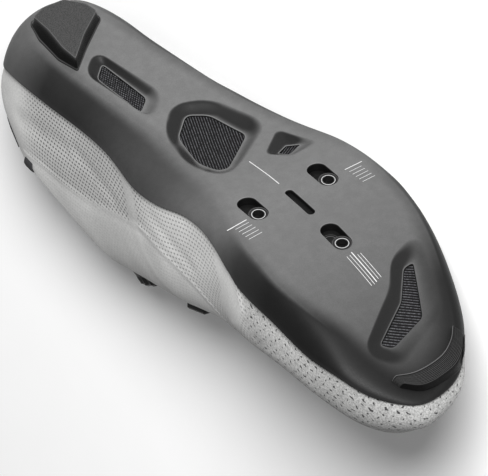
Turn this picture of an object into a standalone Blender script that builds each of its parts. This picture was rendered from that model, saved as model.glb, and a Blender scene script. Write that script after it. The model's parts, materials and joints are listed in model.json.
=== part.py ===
"""Road cycling shoe for the right foot, lying on its outer side.

The shoe is modelled upright: X to the outer side of the foot, Y from heel to toe, Z up from the ground.
One empty then turns the whole shoe onto the side it rests on. Sizes are in metres.
Tables hold shares of the named sizes: `along` of SOLE_LENGTH, `across` columns of BALL_WIDTH.
"""

import math

import bmesh
import bpy
from mathutils import Matrix, Vector
from mathutils.bvhtree import BVHTree

# Driving sizes
SOLE_LENGTH = 0.284
BALL_WIDTH = 0.090
TOE_SPRING = 0.030
RIM_HEIGHT = 0.030
INSTEP_HEIGHT = 0.110
UPPER_WALL = 0.0016
CUP_WALL = 0.0015
SOLE_THICKNESS = 0.0042
CLEARANCE = 0.0003
END_THICKNESS = 0.0021
INSOLE_THICKNESS = 0.003
INSOLE_INSET = 0.0035
TONGUE_THICKNESS = 0.003

# Windows, slots and inserts in the sole
WINDOW_DEPTH = 0.0026
INSERT_THICKNESS = 0.0012
BOLT_SPREAD = 0.036
BOLT_PITCH = 0.036
BOLT_ALONG = 0.583 * SOLE_LENGTH
SLOT_WIDTH = 0.0092
SLOT_TRAVEL = 0.0085
CENTRE_SLOT_WIDTH = 0.0042
CENTRE_SLOT_ENDS = (BOLT_ALONG - 0.0052, BOLT_ALONG + 0.0150)
CENTRE_SLOT_DEPTH = 0.0022
BACKING_OVERLAP = 0.0010
NUT_RADIUS = 0.0043
NUT_HOLE = 0.0024
NUT_RIM_INSET = 0.0006
NUT_FLANGE = 0.0011
PAD_SEAT_DEPTH = 0.0012
PAD_CORNER = 0.0015
PAD_STEP = 0.0004
TOE_SEAT_DEPTH = 0.0012
TOE_BUMPER_HEIGHT = 0.0032
# Heights that cutters through the sole start and end at, well clear of it
BELOW = -0.020
ABOVE = 0.070

# Closure and trim on the upper
THROAT_WIDTH_TOP = 0.029
THROAT_WIDTH_TOE = 0.017
DIAL_ALONG = 0.262
DIAL_RADIUS = 0.0115
DIAL_HEIGHT = 0.0055
DIAL_RIBS = 20
DIAL_RIB_DEPTH = 0.0007
DIAL_TOP_CHAMFER = 0.0010
DIAL_BASE_HEIGHT = 0.0026
DIAL_BASE_FLARE = 0.0012
CABLE_RADIUS = 0.0008
CABLE_LIFT = 0.0020
CABLE_START_LIFT = 0.0034
CABLE_SAG = 0.0020
GUIDE_HEIGHT = 0.0034
GUIDE_LENGTH = 0.0120
GUIDE_WIDTH = 0.0056
GUIDE_OFFSET = 0.0032
GUIDE_CHAMFER = 0.0010
# Depth below the upper's face that the guides and the dial's base start from, before its form is cut away
GUIDE_ROOT = 0.003
DIAL_ROOT = 0.010
FORM_DEPTH = 0.006
HEEL_PATCH_THICKNESS = 0.0009
HEEL_PATCH_BAND = (0.56, 0.69)
PULL_TAB_WIDTH = 0.0070
PULL_TAB_THICKNESS = 0.0016
PULL_TAB_RISE = 0.0030
PULL_TAB_CHAMFER = 0.0006
PULL_TAB_GAP = 0.0012

# Shape of the arch over the foot
ARCH_FULLNESS = 0.78
ARCH_SPACING = 1.30
HEEL_CURVE_REACH = 0.080
TOE_CURVE_REACH = 0.050
# Heights (of INSTEP_HEIGHT) that the throat is cut from, and that every cut ends above
THROAT_FLOOR = 0.38
CUT_TOP = 1.5
# Ends of the tongue (of SOLE_LENGTH)
TONGUE_ENDS = (0.185, 0.72)

# Mesh density
TONGUE_REACH = 3
STATIONS = 37
END_STATIONS = 7
WALL_STEPS = 4
FLOOR_STEPS = 6
INSOLE_STEPS = 4
ARCH_STEPS = 12
CORNER_STEPS = 3
NUT_SEGMENTS = 20
NUT_HOLE_SEGMENTS = 16
DIAL_SEGMENTS = 36
COLLAR_STEPS = 18
THROAT_STEPS = 8

# Under side of the sole along its middle: along, lift (share of TOE_SPRING)
BOTTOM_PROFILE = (
    (-0.05, 0.33), (0.00, 0.32), (0.10, 0.30), (0.21, 0.33), (0.32, 0.40), (0.42, 0.42),
    (0.53, 0.22), (0.63, 0.12), (0.72, 0.12), (0.83, 0.28), (0.915, 0.61), (1.00, 1.01),
)

# Edge of the flat under side: along, inner side across, outer side across
BORDER = (
    (0.014, -0.160, -0.160), (0.028, -0.305, -0.035), (0.070, -0.360, 0.010), (0.120, -0.372, 0.050),
    (0.173, -0.350, 0.080), (0.275, -0.290, 0.170), (0.338, -0.255, 0.228), (0.405, -0.245, 0.310),
    (0.461, -0.255, 0.365), (0.511, -0.283, 0.405), (0.570, -0.328, 0.430), (0.630, -0.383, 0.430),
    (0.687, -0.400, 0.417), (0.725, -0.405, 0.400), (0.796, -0.372, 0.340), (0.852, -0.322, 0.272),
    (0.887, -0.290, 0.222), (0.923, -0.245, 0.155), (0.948, -0.190, 0.070), (0.967, -0.070, -0.070),
)

# Rim of the cup: along, inner side across and height, outer side across and height (of RIM_HEIGHT)
RIM = (
    (-0.042, -0.175, 1.00, -0.175, 1.00), (0.000, -0.452, 1.00, 0.060, 1.00),
    (0.040, -0.492, 0.90, 0.105, 0.92), (0.134, -0.486, 0.80, 0.145, 0.84),
    (0.240, -0.467, 0.68, 0.200, 0.80), (0.303, -0.467, 0.64, 0.277, 0.83),
    (0.370, -0.467, 0.79, 0.350, 0.90), (0.430, -0.467, 0.66, 0.405, 0.83),
    (0.500, -0.440, 0.44, 0.455, 0.63), (0.556, -0.440, 0.40, 0.480, 0.53),
    (0.623, -0.467, 0.52, 0.500, 0.53), (0.658, -0.472, 0.64, 0.500, 0.57),
    (0.746, -0.472, 0.62, 0.452, 0.60), (0.827, -0.461, 0.66, 0.374, 0.67),
    (0.887, -0.425, 0.65, 0.294, 0.74), (0.933, -0.355, 0.78, 0.200, 0.83),
    (0.968, -0.250, 0.87, 0.085, 0.92), (0.986, -0.110, 0.92, -0.110, 0.92),
)

# Ridge of the upper: along, across, height (of INSTEP_HEIGHT), swell of the walls (of BALL_WIDTH)
RIDGE = (
    (-0.042, -0.175, 0.95, 0.074), (0.035, -0.175, 1.02, 0.064), (0.140, -0.185, 1.06, 0.032),
    (0.211, -0.195, 1.05, 0.025), (0.264, -0.195, 0.990, 0.020), (0.373, -0.165, 0.895, 0.020),
    (0.472, -0.130, 0.810, 0.030), (0.599, -0.080, 0.710, 0.040), (0.669, -0.068, 0.635, 0.050),
    (0.740, -0.075, 0.575, 0.060), (0.828, -0.095, 0.525, 0.065), (0.900, -0.125, 0.515, 0.050),
    (0.951, -0.145, 0.485, 0.035), (0.986, -0.110, 0.435, 0.030),
)

# Back of the heel: height (of INSTEP_HEIGHT), set back (of SOLE_LENGTH)
HEEL_CURVE = (
    (0.20, 0.000), (0.27, 0.010), (0.38, 0.029), (0.50, 0.026), (0.62, -0.002), (0.74, -0.024),
    (0.86, -0.028), (1.10, -0.020),
)

# Front of the toe: height (of INSTEP_HEIGHT), reach past the rim (of SOLE_LENGTH)
TOE_CURVE = (
    (0.20, 0.000), (0.24, 0.004), (0.28, 0.012), (0.33, 0.017), (0.38, 0.012), (0.43, 0.000), (0.55, -0.012),
)

# Top line of the collar: along, height (of INSTEP_HEIGHT)
COLLAR_LINE = (
    (-0.080, 0.830), (-0.030, 0.800), (0.020, 0.735), (0.070, 0.722), (0.125, 0.770), (0.190, 0.848),
    (0.225, 0.900), (0.250, 0.945),
)

# Throat opening from its top to its toe end: along, across
THROAT_LINE = ((0.215, -0.152), (0.40, -0.097), (0.52, -0.047), (0.645, -0.012))

# Windows: corner by corner, mesh outline (x, y) and recess outline (x, y), in millimetres on a sole that is
# TABLE_LENGTH long; they grow with SOLE_LENGTH
TABLE_LENGTH = 284.0
HEEL_WINDOW = (
    (-16.8, 43.6, -16.7, 38.7), (-12.4, 71.5, -7.5, 74.7),
    (-19.2, 77.2, -17.5, 83.5), (-23.4, 49.8, -26.0, 47.0),
)
MIDDLE_WINDOW = (
    (-3.8, 89.1, -6.9, 83.6), (4.6, 94.6, 8.1, 89.2), (11.2, 113.5, 20.1, 113.5), (-7.8, 127.6, -8.5, 132.4),
    (-12.1, 125.6, -14.4, 130.0), (-15.8, 116.0, -19.6, 118.0), (-14.0, 98.5, -18.4, 97.0),
)
SIDE_WINDOW = (
    (14.2, 133.4, 9.1, 132.4), (19.8, 131.0, 21.8, 122.0),
    (24.8, 134.6, 28.8, 140.6), (17.0, 137.6, 16.0, 140.8),
)
TOE_WINDOW = (
    (20.3, 224.7, 27.3, 217.0), (8.5, 248.2, 16.6, 249.0), (-10.5, 253.9, -12.7, 261.1),
    (-14.9, 250.5, -21.3, 252.3), (4.2, 238.7, 3.7, 234.7), (15.0, 225.2, 13.9, 221.8),
)
# Window: its table and its corner radius in the same millimetres
WINDOW_TABLES = {
    "heel": (HEEL_WINDOW, 2.2),
    "middle": (MIDDLE_WINDOW, 3.0),
    "side": (SIDE_WINDOW, 1.0),
    "toe": (TOE_WINDOW, 2.0),
}

# Heel pad: corner by corner, base outline (x, y) and tread outline (x, y), in the same millimetres
HEEL_PAD = (
    (-29.0, 6.4, -28.6, 12.2), (-17.0, 3.0, -20.0, 10.3), (-5.0, 6.6, -12.0, 11.0),
    (1.2, 19.8, -7.2, 22.5), (-13.5, 31.0, -19.4, 32.0), (-28.8, 41.6, -29.8, 40.2),
    (-32.0, 36.0, -31.0, 37.0), (-32.4, 16.0, -30.8, 17.0),
)
# Toe bumper from the inner to the outer side: rear edge (x, y) and front edge (x, y)
TOE_BUMPER = (
    (-19.6, 265.0, -18.8, 269.4), (-9.0, 266.6, -9.6, 274.0), (3.0, 265.2, 3.8, 272.8),
    (10.4, 261.8, 12.0, 267.8), (15.2, 256.6, 18.0, 260.4),
)
MILLIMETRE = SOLE_LENGTH / TABLE_LENGTH

# Guides: throat edge (-1 inner, 1 outer) and place along
GUIDES = ((1, 0.385), (-1, 0.435), (1, 0.485), (-1, 0.535), (1, 0.580))
PULL_TAB_STATION = 7
# Stations that the heel patch reaches on the inner and on the outer side
HEEL_PATCH_REACH = (5, 2)

MATERIALS = {
    "carbon_composite": ((0.20, 0.20, 0.20), 0.38, 0.0),
    "knit": ((0.46, 0.46, 0.46), 0.85, 0.0),
    "black_mesh": ((0.012, 0.012, 0.013), 0.70, 0.0),
    "rubber": ((0.03, 0.03, 0.03), 0.75, 0.0),
    "steel": ((0.55, 0.55, 0.55), 0.30, 1.0),
    "black_plastic": ((0.015, 0.015, 0.015), 0.45, 0.0),
    "foam_lining": ((0.05, 0.05, 0.05), 0.90, 0.0),
}


def curve_through(knots, position):
    """Cubic curve through (position, value) knots, held flat past both ends."""
    if position <= knots[0][0]:
        return knots[0][1]
    if position >= knots[-1][0]:
        return knots[-1][1]
    index = max(i for i in range(len(knots) - 1) if knots[i][0] <= position)
    start, end = knots[index], knots[index + 1]
    step = end[0] - start[0]

    def slope_at(i):
        before = knots[max(i - 1, 0)]
        after = knots[min(i + 1, len(knots) - 1)]
        return (after[1] - before[1]) / (after[0] - before[0])

    share = (position - start[0]) / step
    square, cube = share * share, share * share * share
    return (
        (2 * cube - 3 * square + 1) * start[1] + (cube - 2 * square + share) * step * slope_at(index)
        + (3 * square - 2 * cube) * end[1] + (cube - square) * step * slope_at(index + 1)
    )


def station_angle(along, first, last):
    """Angle from 0 at the heel end to pi at the toe end, so that both ends come out round."""
    share = (along - first) / (last - first)
    return math.acos(max(-1.0, min(1.0, 1.0 - 2.0 * share)))


def loop_knots(table, inner_column, outer_column):
    """Knots of one value round the outline: inner side 0 to pi, outer side pi to 2 pi, and some overlap."""
    first, last = table[0][0], table[-1][0]
    inner = [(station_angle(row[0], first, last), row[inner_column]) for row in table]
    outer = [(2 * math.pi - station_angle(row[0], first, last), row[outer_column]) for row in table[-2:0:-1]]
    once = inner + outer
    before = [(angle - 2 * math.pi, value) for angle, value in once[-3:]]
    after = [(angle + 2 * math.pi, value) for angle, value in once[:4]]
    return before + once + after


BORDER_KNOTS = loop_knots(BORDER, 1, 2)
RIM_KNOTS = loop_knots(RIM, 1, 3)
RIM_HEIGHT_KNOTS = loop_knots(RIM, 2, 4)


def bottom_height(y):
    return curve_through(BOTTOM_PROFILE, y / SOLE_LENGTH) * TOE_SPRING


def along_at(table, angle):
    """Distance along the shoe of a station angle on the outline of a table."""
    first, last = table[0][0], table[-1][0]
    return SOLE_LENGTH * (first + (last - first) * (1.0 - math.cos(angle)) / 2.0)


def border_point(angle, inset=0.0):
    """Point on the edge of the flat under side; inset moves it towards the middle."""
    y = along_at(BORDER, angle)
    middle = 0.5 * (BORDER[0][0] + BORDER[-1][0]) * SOLE_LENGTH
    half = 0.5 * (BORDER[-1][0] - BORDER[0][0]) * SOLE_LENGTH
    y = middle + (y - middle) * (half - inset) / half
    x = curve_through(BORDER_KNOTS, angle) * BALL_WIDTH
    x -= math.copysign(inset, math.sin(angle) * -1.0) * abs(math.sin(angle)) ** 0.5
    return Vector((x, y, bottom_height(y)))


def rim_point(angle):
    x = curve_through(RIM_KNOTS, angle) * BALL_WIDTH
    z = curve_through(RIM_HEIGHT_KNOTS, angle) * RIM_HEIGHT
    return Vector((x, along_at(RIM, angle), z))


def cup_wall(angle, share):
    """Point on the outer face of the cup's side, from the rim (share 0) to the flat bottom (share 1)."""
    rim, border = rim_point(angle), border_point(angle)
    upper_pull = rim.lerp(border, 0.12)
    upper_pull.z = rim.z + 0.55 * (border.z - rim.z)
    lower_pull = border.lerp(rim, 0.50)
    lower_pull.z = border.z + 0.06 * (rim.z - border.z)
    rest = 1.0 - share
    return (
        rim * rest ** 3 + upper_pull * (3 * rest ** 2 * share)
        + lower_pull * (3 * rest * share ** 2) + border * share ** 3
    )


def cup_grid():
    """Outer face of the cup: one row for each station, from the inner rim under the shoe to the outer rim."""
    rows = []
    for station in range(STATIONS + 1):
        inner_angle = math.pi * station / STATIONS
        outer_angle = 2 * math.pi - inner_angle
        row = [cup_wall(inner_angle, step / WALL_STEPS) for step in range(WALL_STEPS + 1)]
        start, end = border_point(inner_angle), border_point(outer_angle)
        row += [start.lerp(end, step / FLOOR_STEPS) for step in range(1, FLOOR_STEPS)]
        row += [cup_wall(outer_angle, 1.0 - step / WALL_STEPS) for step in range(WALL_STEPS + 1)]
        rows.append(row)
    return rows


def merged_key(point):
    return (round(point.x, 7), round(point.y, 7), round(point.z, 7))


def add_point(mesh, known, point, layer):
    key = (layer,) + merged_key(point)
    if key not in known:
        known[key] = mesh.verts.new(point)
    return known[key]


def add_face(mesh, corners):
    """Face through its corners, with those that meet counted once."""
    distinct = []
    for corner in corners:
        if corner not in distinct:
            distinct.append(corner)
    if len(distinct) > 2 and mesh.faces.get(distinct) is None:
        mesh.faces.new(distinct)


def grid_faces(mesh, points, flip=False, lean=1):
    """Triangles of a grid. The diagonals mirror about its middle, so that nested layers fold alike."""
    for near, far in zip(points, points[1:]):
        last = len(near) - 1
        for column in range(last):
            a, b, c, d = near[column], near[column + 1], far[column + 1], far[column]
            first_half = 2 * column < last
            if first_half == (lean > 0):
                halves = ([a, b, c], [a, c, d])
            else:
                halves = ([a, b, d], [b, c, d])
            for corners in halves:
                add_face(mesh, corners[::-1] if flip else corners)


def offset_grid(rows, distance_at):
    """Grid moved along its own smooth normals; those of the cup point in, those of the upper point out."""
    mesh, known = bmesh.new(), {}
    points = [[add_point(mesh, known, point, 0) for point in row] for row in rows]
    grid_faces(mesh, points)
    mesh.normal_update()
    moved = []
    for station, row in enumerate(points):
        moved.append([vertex.co + vertex.normal * distance_at(station, c) for c, vertex in enumerate(row)])
    mesh.free()
    return moved


def slab_mesh(outer, inner, closed_ends=True, lean=1):
    """Closed wall between two grids of the same size."""
    mesh, known = bmesh.new(), {}
    outer_points = [[add_point(mesh, known, point, 0) for point in row] for row in outer]
    inner_points = [[add_point(mesh, known, point, 1) for point in row] for row in inner]
    grid_faces(mesh, outer_points, lean=lean)
    grid_faces(mesh, inner_points, flip=True, lean=lean)
    for column in (0, len(outer[0]) - 1):
        for row in range(len(outer) - 1):
            a, b = outer_points[row][column], outer_points[row + 1][column]
            c, d = inner_points[row + 1][column], inner_points[row][column]
            add_face(mesh, [a, b, c, d] if column == 0 else [d, c, b, a])
    if closed_ends:
        for row in (0, len(outer) - 1):
            for column in range(len(outer[0]) - 1):
                a, b = outer_points[row][column], outer_points[row][column + 1]
                c, d = inner_points[row][column + 1], inner_points[row][column]
                add_face(mesh, [d, c, b, a] if row == 0 else [a, b, c, d])
    bmesh.ops.recalc_face_normals(mesh, faces=mesh.faces)
    return mesh


def cup_thickness(station, column):
    """Thickness of the cup: thin at the rims, full under the foot, and less at the heel and toe ends."""
    last = 2 * WALL_STEPS + FLOOR_STEPS
    share = min(1.0, min(column, last - column) / WALL_STEPS)
    from_end = min(1.0, min(station, STATIONS - station) / END_STATIONS)
    floor = END_THICKNESS + (SOLE_THICKNESS - END_THICKNESS) * from_end
    return CUP_WALL + (floor - CUP_WALL) * share * share


CUP = cup_grid()
CUP_LAST = 2 * WALL_STEPS + FLOOR_STEPS


def smooth_fade(distance, reach):
    share = max(0.0, 1.0 - distance / reach)
    return share * share * (3.0 - 2.0 * share)


def arch_point(base, side, share, station):
    """Point of the upper above the rim, from the rim (share 0) to the ridge (share 1)."""
    along = base.y / SOLE_LENGTH
    ridge_x = curve_through([(row[0], row[1]) for row in RIDGE], along) * BALL_WIDTH
    ridge_z = curve_through([(row[0], row[2]) for row in RIDGE], along) * INSTEP_HEIGHT
    swell = curve_through([(row[0], row[3]) for row in RIDGE], along) * BALL_WIDTH
    turn = 0.5 * math.pi * share ** ARCH_SPACING
    open_width = math.sin(math.pi * station / STATIONS) ** 0.5
    x = ridge_x + (base.x - ridge_x) * math.cos(turn) ** ARCH_FULLNESS
    x += side * swell * open_width * math.sin(math.pi * share ** ARCH_SPACING) * (1.0 - share)
    z = base.z + (ridge_z - base.z) * math.sin(turn) ** ARCH_FULLNESS
    if share >= 1.0:
        x = ridge_x + (base.x - ridge_x) * (1.0 - open_width) if station in (0, STATIONS) else ridge_x
    height, base_height = z / INSTEP_HEIGHT, base.z / INSTEP_HEIGHT
    heel_shift = curve_through(HEEL_CURVE, height) - curve_through(HEEL_CURVE, base_height)
    toe_shift = curve_through(TOE_CURVE, height) - curve_through(TOE_CURVE, base_height)
    heel_end, toe_end = along_at(RIM, 0.0), along_at(RIM, math.pi)
    y = base.y - SOLE_LENGTH * heel_shift * smooth_fade(base.y - heel_end, HEEL_CURVE_REACH)
    y += SOLE_LENGTH * toe_shift * smooth_fade(toe_end - base.y, TOE_CURVE_REACH)
    return Vector((x, y, z))


def upper_grid():
    """Outer face of the upper: side inside the cup, arch over the foot, and side inside the cup again."""
    lined = offset_grid(CUP, lambda station, column: cup_thickness(station, column) + CLEARANCE)
    half = ARCH_STEPS // 2
    rows = []
    for station, cup_row in enumerate(lined):
        inner_base, outer_base = cup_row[0], cup_row[-1]
        row = [cup_row[column] for column in range(FIRST_ARCH_COLUMN, -1, -1)]
        row += [arch_point(inner_base, -1, step / half, station) for step in range(1, half + 1)]
        row += [arch_point(outer_base, 1, step / half, station) for step in range(half - 1, 0, -1)]
        row += [cup_row[CUP_LAST - column] for column in range(FIRST_ARCH_COLUMN + 1)]
        rows.append(row)
    return rows


FIRST_ARCH_COLUMN = WALL_STEPS - 2
UPPER = upper_grid()
RIDGE_COLUMN = FIRST_ARCH_COLUMN + ARCH_STEPS // 2


def search_tree(rows):
    mesh, known = bmesh.new(), {}
    points = [[add_point(mesh, known, point, 0) for point in row] for row in rows]
    grid_faces(mesh, points)
    mesh.normal_update()
    tree = BVHTree.FromBMesh(mesh)
    mesh.free()
    return tree


CUP_TREE = search_tree(CUP)
UPPER_TREE = search_tree([row[FIRST_ARCH_COLUMN:FIRST_ARCH_COLUMN + ARCH_STEPS + 1] for row in UPPER])


def sole_height(x, y):
    """Height of the sole's under side above the ground; beyond its edge, the height of the nearest part."""
    hit = CUP_TREE.ray_cast(Vector((x, y, -1.0)), Vector((0, 0, 1)))[0]
    if hit is None:
        hit = CUP_TREE.find_nearest(Vector((x, y, bottom_height(y))))[0]
    return hit.z


def instep_surface(x, y):
    """Point and normal on top of the upper, as if the throat were closed."""
    point, normal = UPPER_TREE.ray_cast(Vector((x, y, 1.0)), Vector((0, 0, -1)))[:2]
    return point, normal if normal.z > 0 else -normal


def clear_scene():
    for item in list(bpy.data.objects):
        bpy.data.objects.remove(item, do_unlink=True)
    for group in list(bpy.data.collections):
        bpy.data.collections.remove(group)


def make_material(name):
    colour, roughness, metallic = MATERIALS[name]
    material = bpy.data.materials.new(name)
    material.use_nodes = True
    shader = material.node_tree.nodes["Principled BSDF"]
    shader.inputs["Base Color"].default_value = (*colour, 1.0)
    shader.inputs["Roughness"].default_value = roughness
    shader.inputs["Metallic"].default_value = metallic
    return material


class Workshop:
    """Holds the collections, the materials and the empty that carries the shoe."""

    def __init__(self):
        clear_scene()
        self.parts = bpy.data.collections.new("cycling_shoe")
        self.cutters = bpy.data.collections.new("cutters")
        for group in (self.parts, self.cutters):
            bpy.context.scene.collection.children.link(group)
        self.materials = {name: make_material(name) for name in MATERIALS}
        self.carrier = bpy.data.objects.new("shoe_on_its_side", None)
        self.parts.objects.link(self.carrier)

    def add(self, name, mesh, material=None):
        """Object from a bmesh; without a material it is a cutter."""
        bmesh.ops.recalc_face_normals(mesh, faces=mesh.faces)
        if mesh.calc_volume(signed=True) < 0:
            bmesh.ops.reverse_faces(mesh, faces=mesh.faces)
        data = bpy.data.meshes.new(name)
        mesh.to_mesh(data)
        mesh.free()
        item = bpy.data.objects.new(name, data)
        item.parent = self.carrier
        if material:
            data.materials.append(self.materials[material])
            data.shade_smooth()
            data.set_sharp_from_angle(angle=math.radians(35))
            self.parts.objects.link(item)
        else:
            item.hide_render = True
            item.display_type = "WIRE"
            self.cutters.objects.link(item)
        return item


def combine(item, tool, operation):
    modifier = item.modifiers.new(operation.lower() + "_" + tool.name, "BOOLEAN")
    modifier.operation = operation
    modifier.solver = "EXACT"
    modifier.object = tool
    return item


def rounded_outline(corners, radius):
    """Outline through corners whose tips are rounded by short curves."""
    points = []
    count = len(corners)
    for index, corner in enumerate(corners):
        before, after = corners[index - 1], corners[(index + 1) % count]
        arrive = corner + (before - corner) * min(0.45, radius / (before - corner).length)
        leave = corner + (after - corner) * min(0.45, radius / (after - corner).length)
        for step in range(CORNER_STEPS + 1):
            share = step / CORNER_STEPS
            points.append(arrive.lerp(corner, share).lerp(corner.lerp(leave, share), share))
    return points


def inset_outline(points, distance):
    """Outline moved inwards by a distance, or outwards where it is negative."""
    area = sum(a.x * b.y - b.x * a.y for a, b in zip(points, points[1:] + points[:1]))
    turn = 1.0 if area > 0 else -1.0
    moved = []
    count = len(points)
    for index, point in enumerate(points):
        edge = (points[(index + 1) % count] - points[index - 1]).normalized()
        moved.append(point + Vector((-edge.y, edge.x)) * turn * distance)
    return moved


def capsule_outline(centre_x, start_y, end_y, width):
    """Long hole with round ends, from start_y to end_y along the shoe."""
    radius = width / 2.0
    points = []
    for step in range(2 * CORNER_STEPS + 1):
        turn = math.pi * step / (2 * CORNER_STEPS)
        points.append(Vector((centre_x + radius * math.cos(turn), end_y - radius + radius * math.sin(turn))))
    for step in range(2 * CORNER_STEPS + 1):
        turn = math.pi + math.pi * step / (2 * CORNER_STEPS)
        points.append(Vector((centre_x + radius * math.cos(turn), start_y + radius + radius * math.sin(turn))))
    return points


def loft(rings, centres=None):
    """Closed solid through rings of equally many points; each end is flat, or a fan round a centre."""
    mesh = bmesh.new()
    loops = [[mesh.verts.new(point) for point in ring] for ring in rings]
    for lower, upper in zip(loops, loops[1:]):
        for index in range(len(lower)):
            following = (index + 1) % len(lower)
            mesh.faces.new([lower[index], lower[following], upper[following], upper[index]])
    if centres:
        for ring, centre in ((loops[0], centres[0]), (loops[-1], centres[1])):
            middle = mesh.verts.new(centre)
            for index in range(len(ring)):
                mesh.faces.new([ring[index], ring[(index + 1) % len(ring)], middle])
    else:
        mesh.faces.new(loops[0][::-1])
        mesh.faces.new(loops[-1])
        bmesh.ops.triangulate(mesh, faces=[face for face in mesh.faces if len(face.verts) > 4])
    return mesh


def level_ring(outline, z):
    return [Vector((point.x, point.y, z)) for point in outline]


def sole_ring(outline, depth):
    return [Vector((point.x, point.y, sole_height(point.x, point.y) + depth)) for point in outline]


def middle_of(points):
    return sum(points, points[0] * 0.0) / len(points)


def level_centre(corners, z):
    middle = middle_of(corners)
    return Vector((middle.x, middle.y, z))


def sole_centre(corners, depth):
    middle = middle_of(corners)
    return Vector((middle.x, middle.y, sole_height(middle.x, middle.y) + depth))


def sole_plug(outline, corners, start, end):
    """Plate that follows the sole's under side between two depths."""
    rings = (sole_ring(outline, start), sole_ring(outline, end))
    return loft(rings, (sole_centre(corners, start), sole_centre(corners, end)))


def sole_pocket(outline, corners, depth):
    """Cutter from below the sole up to a depth in it, with a floor that follows the under side."""
    rings = (level_ring(outline, BELOW), sole_ring(outline, -PAD_STEP), sole_ring(outline, depth))
    return loft(rings, (level_centre(corners, BELOW), sole_centre(corners, depth)))


def outline_of(table, first_column):
    return [Vector((row[first_column], row[first_column + 1])) * MILLIMETRE for row in table]


def make_sole(shop):
    inner = offset_grid(CUP, cup_thickness)
    return shop.add("sole_plate", slab_mesh(CUP, inner, closed_ends=False, lean=-1), "carbon_composite")


def make_windows(shop, sole):
    """Recess cut through the sole for each window, and the ribbed insert that closes it."""
    start = WINDOW_DEPTH + CLEARANCE
    for name, (table, radius) in WINDOW_TABLES.items():
        corners = outline_of(table, 0)
        mesh_outline = rounded_outline(corners, radius * MILLIMETRE)
        recess_outline = rounded_outline(outline_of(table, 2), 2.0 * radius * MILLIMETRE)
        rings = (
            level_ring(recess_outline, BELOW), sole_ring(recess_outline, 0.0),
            sole_ring(mesh_outline, WINDOW_DEPTH), level_ring(mesh_outline, ABOVE),
        )
        combine(sole, shop.add("window_cut_" + name, loft(rings)), "DIFFERENCE")
        snug = inset_outline(mesh_outline, CLEARANCE)
        insert = sole_plug(snug, corners, start, start + INSERT_THICKNESS)
        shop.add("vent_insert_" + name, insert, "black_mesh")


def bolt_places():
    half = BOLT_SPREAD / 2.0
    return {
        "inner": (-half, BOLT_ALONG), "outer": (half, BOLT_ALONG), "front": (0.0, BOLT_ALONG + BOLT_PITCH),
    }


def make_cleat_fixings(shop, sole):
    """Three slots, each with a threaded ring in it and a backing plate behind it, and a short centre slot."""
    backing_start = SOLE_THICKNESS + CLEARANCE
    for name, (x, y) in bolt_places().items():
        slot_end = y + SLOT_WIDTH / 2.0
        slot_start = y - SLOT_TRAVEL - SLOT_WIDTH / 2.0
        slot = capsule_outline(x, slot_start, slot_end, SLOT_WIDTH)
        cut = loft((level_ring(slot, BELOW), level_ring(slot, ABOVE)))
        combine(sole, shop.add("slot_cut_" + name, cut), "DIFFERENCE")
        overlap = BACKING_OVERLAP
        plate = capsule_outline(x, slot_start - overlap, slot_end + overlap, SLOT_WIDTH + 2 * overlap)
        backing = sole_plug(plate, plate, backing_start, backing_start + NUT_FLANGE)
        shop.add("backing_plate_" + name, backing, "black_plastic")
        top = sole_height(x, y) + SOLE_THICKNESS - NUT_RIM_INSET
        bottom = sole_height(x, y) + NUT_RIM_INSET
        ring = cylinder(x, y, bottom, top, NUT_RADIUS, NUT_SEGMENTS)
        hole = cylinder(x, y, BELOW, ABOVE, NUT_HOLE, NUT_HOLE_SEGMENTS)
        combine(shop.add("cleat_nut_" + name, ring, "steel"), shop.add("nut_hole_" + name, hole), "DIFFERENCE")
    centre = capsule_outline(0.0, CENTRE_SLOT_ENDS[0], CENTRE_SLOT_ENDS[1], CENTRE_SLOT_WIDTH)
    combine(sole, shop.add("centre_slot_cut", sole_pocket(centre, centre, CENTRE_SLOT_DEPTH)), "DIFFERENCE")


def cylinder(x, y, bottom, top, radius, segments):
    mesh = bmesh.new()
    bmesh.ops.create_cone(
        mesh, cap_ends=True, segments=segments, radius1=radius, radius2=radius, depth=top - bottom,
        matrix=Matrix.Translation((x, y, (top + bottom) / 2.0)),
    )
    return mesh


def make_heel_pad(shop, sole):
    """Rubber heel pad, seated in a shallow pocket and flat on the ground."""
    corners = outline_of(HEEL_PAD, 0)
    base = rounded_outline(corners, PAD_CORNER)
    tread = rounded_outline(outline_of(HEEL_PAD, 2), PAD_CORNER)
    depth = PAD_SEAT_DEPTH - CLEARANCE
    rings = (level_ring(tread, 0.0), sole_ring(base, -PAD_STEP), sole_ring(base, depth))
    centres = (level_centre(corners, 0.0), sole_centre(corners, depth))
    shop.add("heel_pad", loft(rings, centres), "rubber")
    seat = inset_outline(base, -CLEARANCE)
    combine(sole, shop.add("heel_seat_cut", sole_pocket(seat, corners, PAD_SEAT_DEPTH)), "DIFFERENCE")


def bumper_layer(widen, start, end):
    """Curved bar on the front edge of the sole, between two depths, widened all round by a clearance."""
    steps, across = 8, 2
    rear = [(row[0], row[1]) for row in TOE_BUMPER]
    front = [(row[2], row[3]) for row in TOE_BUMPER]
    grids = ([], [])
    for step in range(steps + 1):
        share = step / steps
        place = share * (len(TOE_BUMPER) - 1)
        back = Vector([curve_through(list(enumerate(p[axis] for p in rear)), place) for axis in (0, 1)])
        fore = Vector([curve_through(list(enumerate(p[axis] for p in front)), place) for axis in (0, 1)])
        back, fore = back * MILLIMETRE, fore * MILLIMETRE
        outward = (fore - back).normalized() * widen
        sideways = Vector((1.0 if share > 0.5 else -1.0, 0.0)) * (widen if step in (0, steps) else 0.0)
        ends = (back - outward + sideways, fore + outward + sideways)
        line = [ends[0].lerp(ends[1], k / across) for k in range(across + 1)]
        for grid, depth in zip(grids, (start, end)):
            grid.append([Vector((point.x, point.y, sole_height(point.x, point.y) + depth)) for point in line])
    return slab_mesh(*grids)


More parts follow.
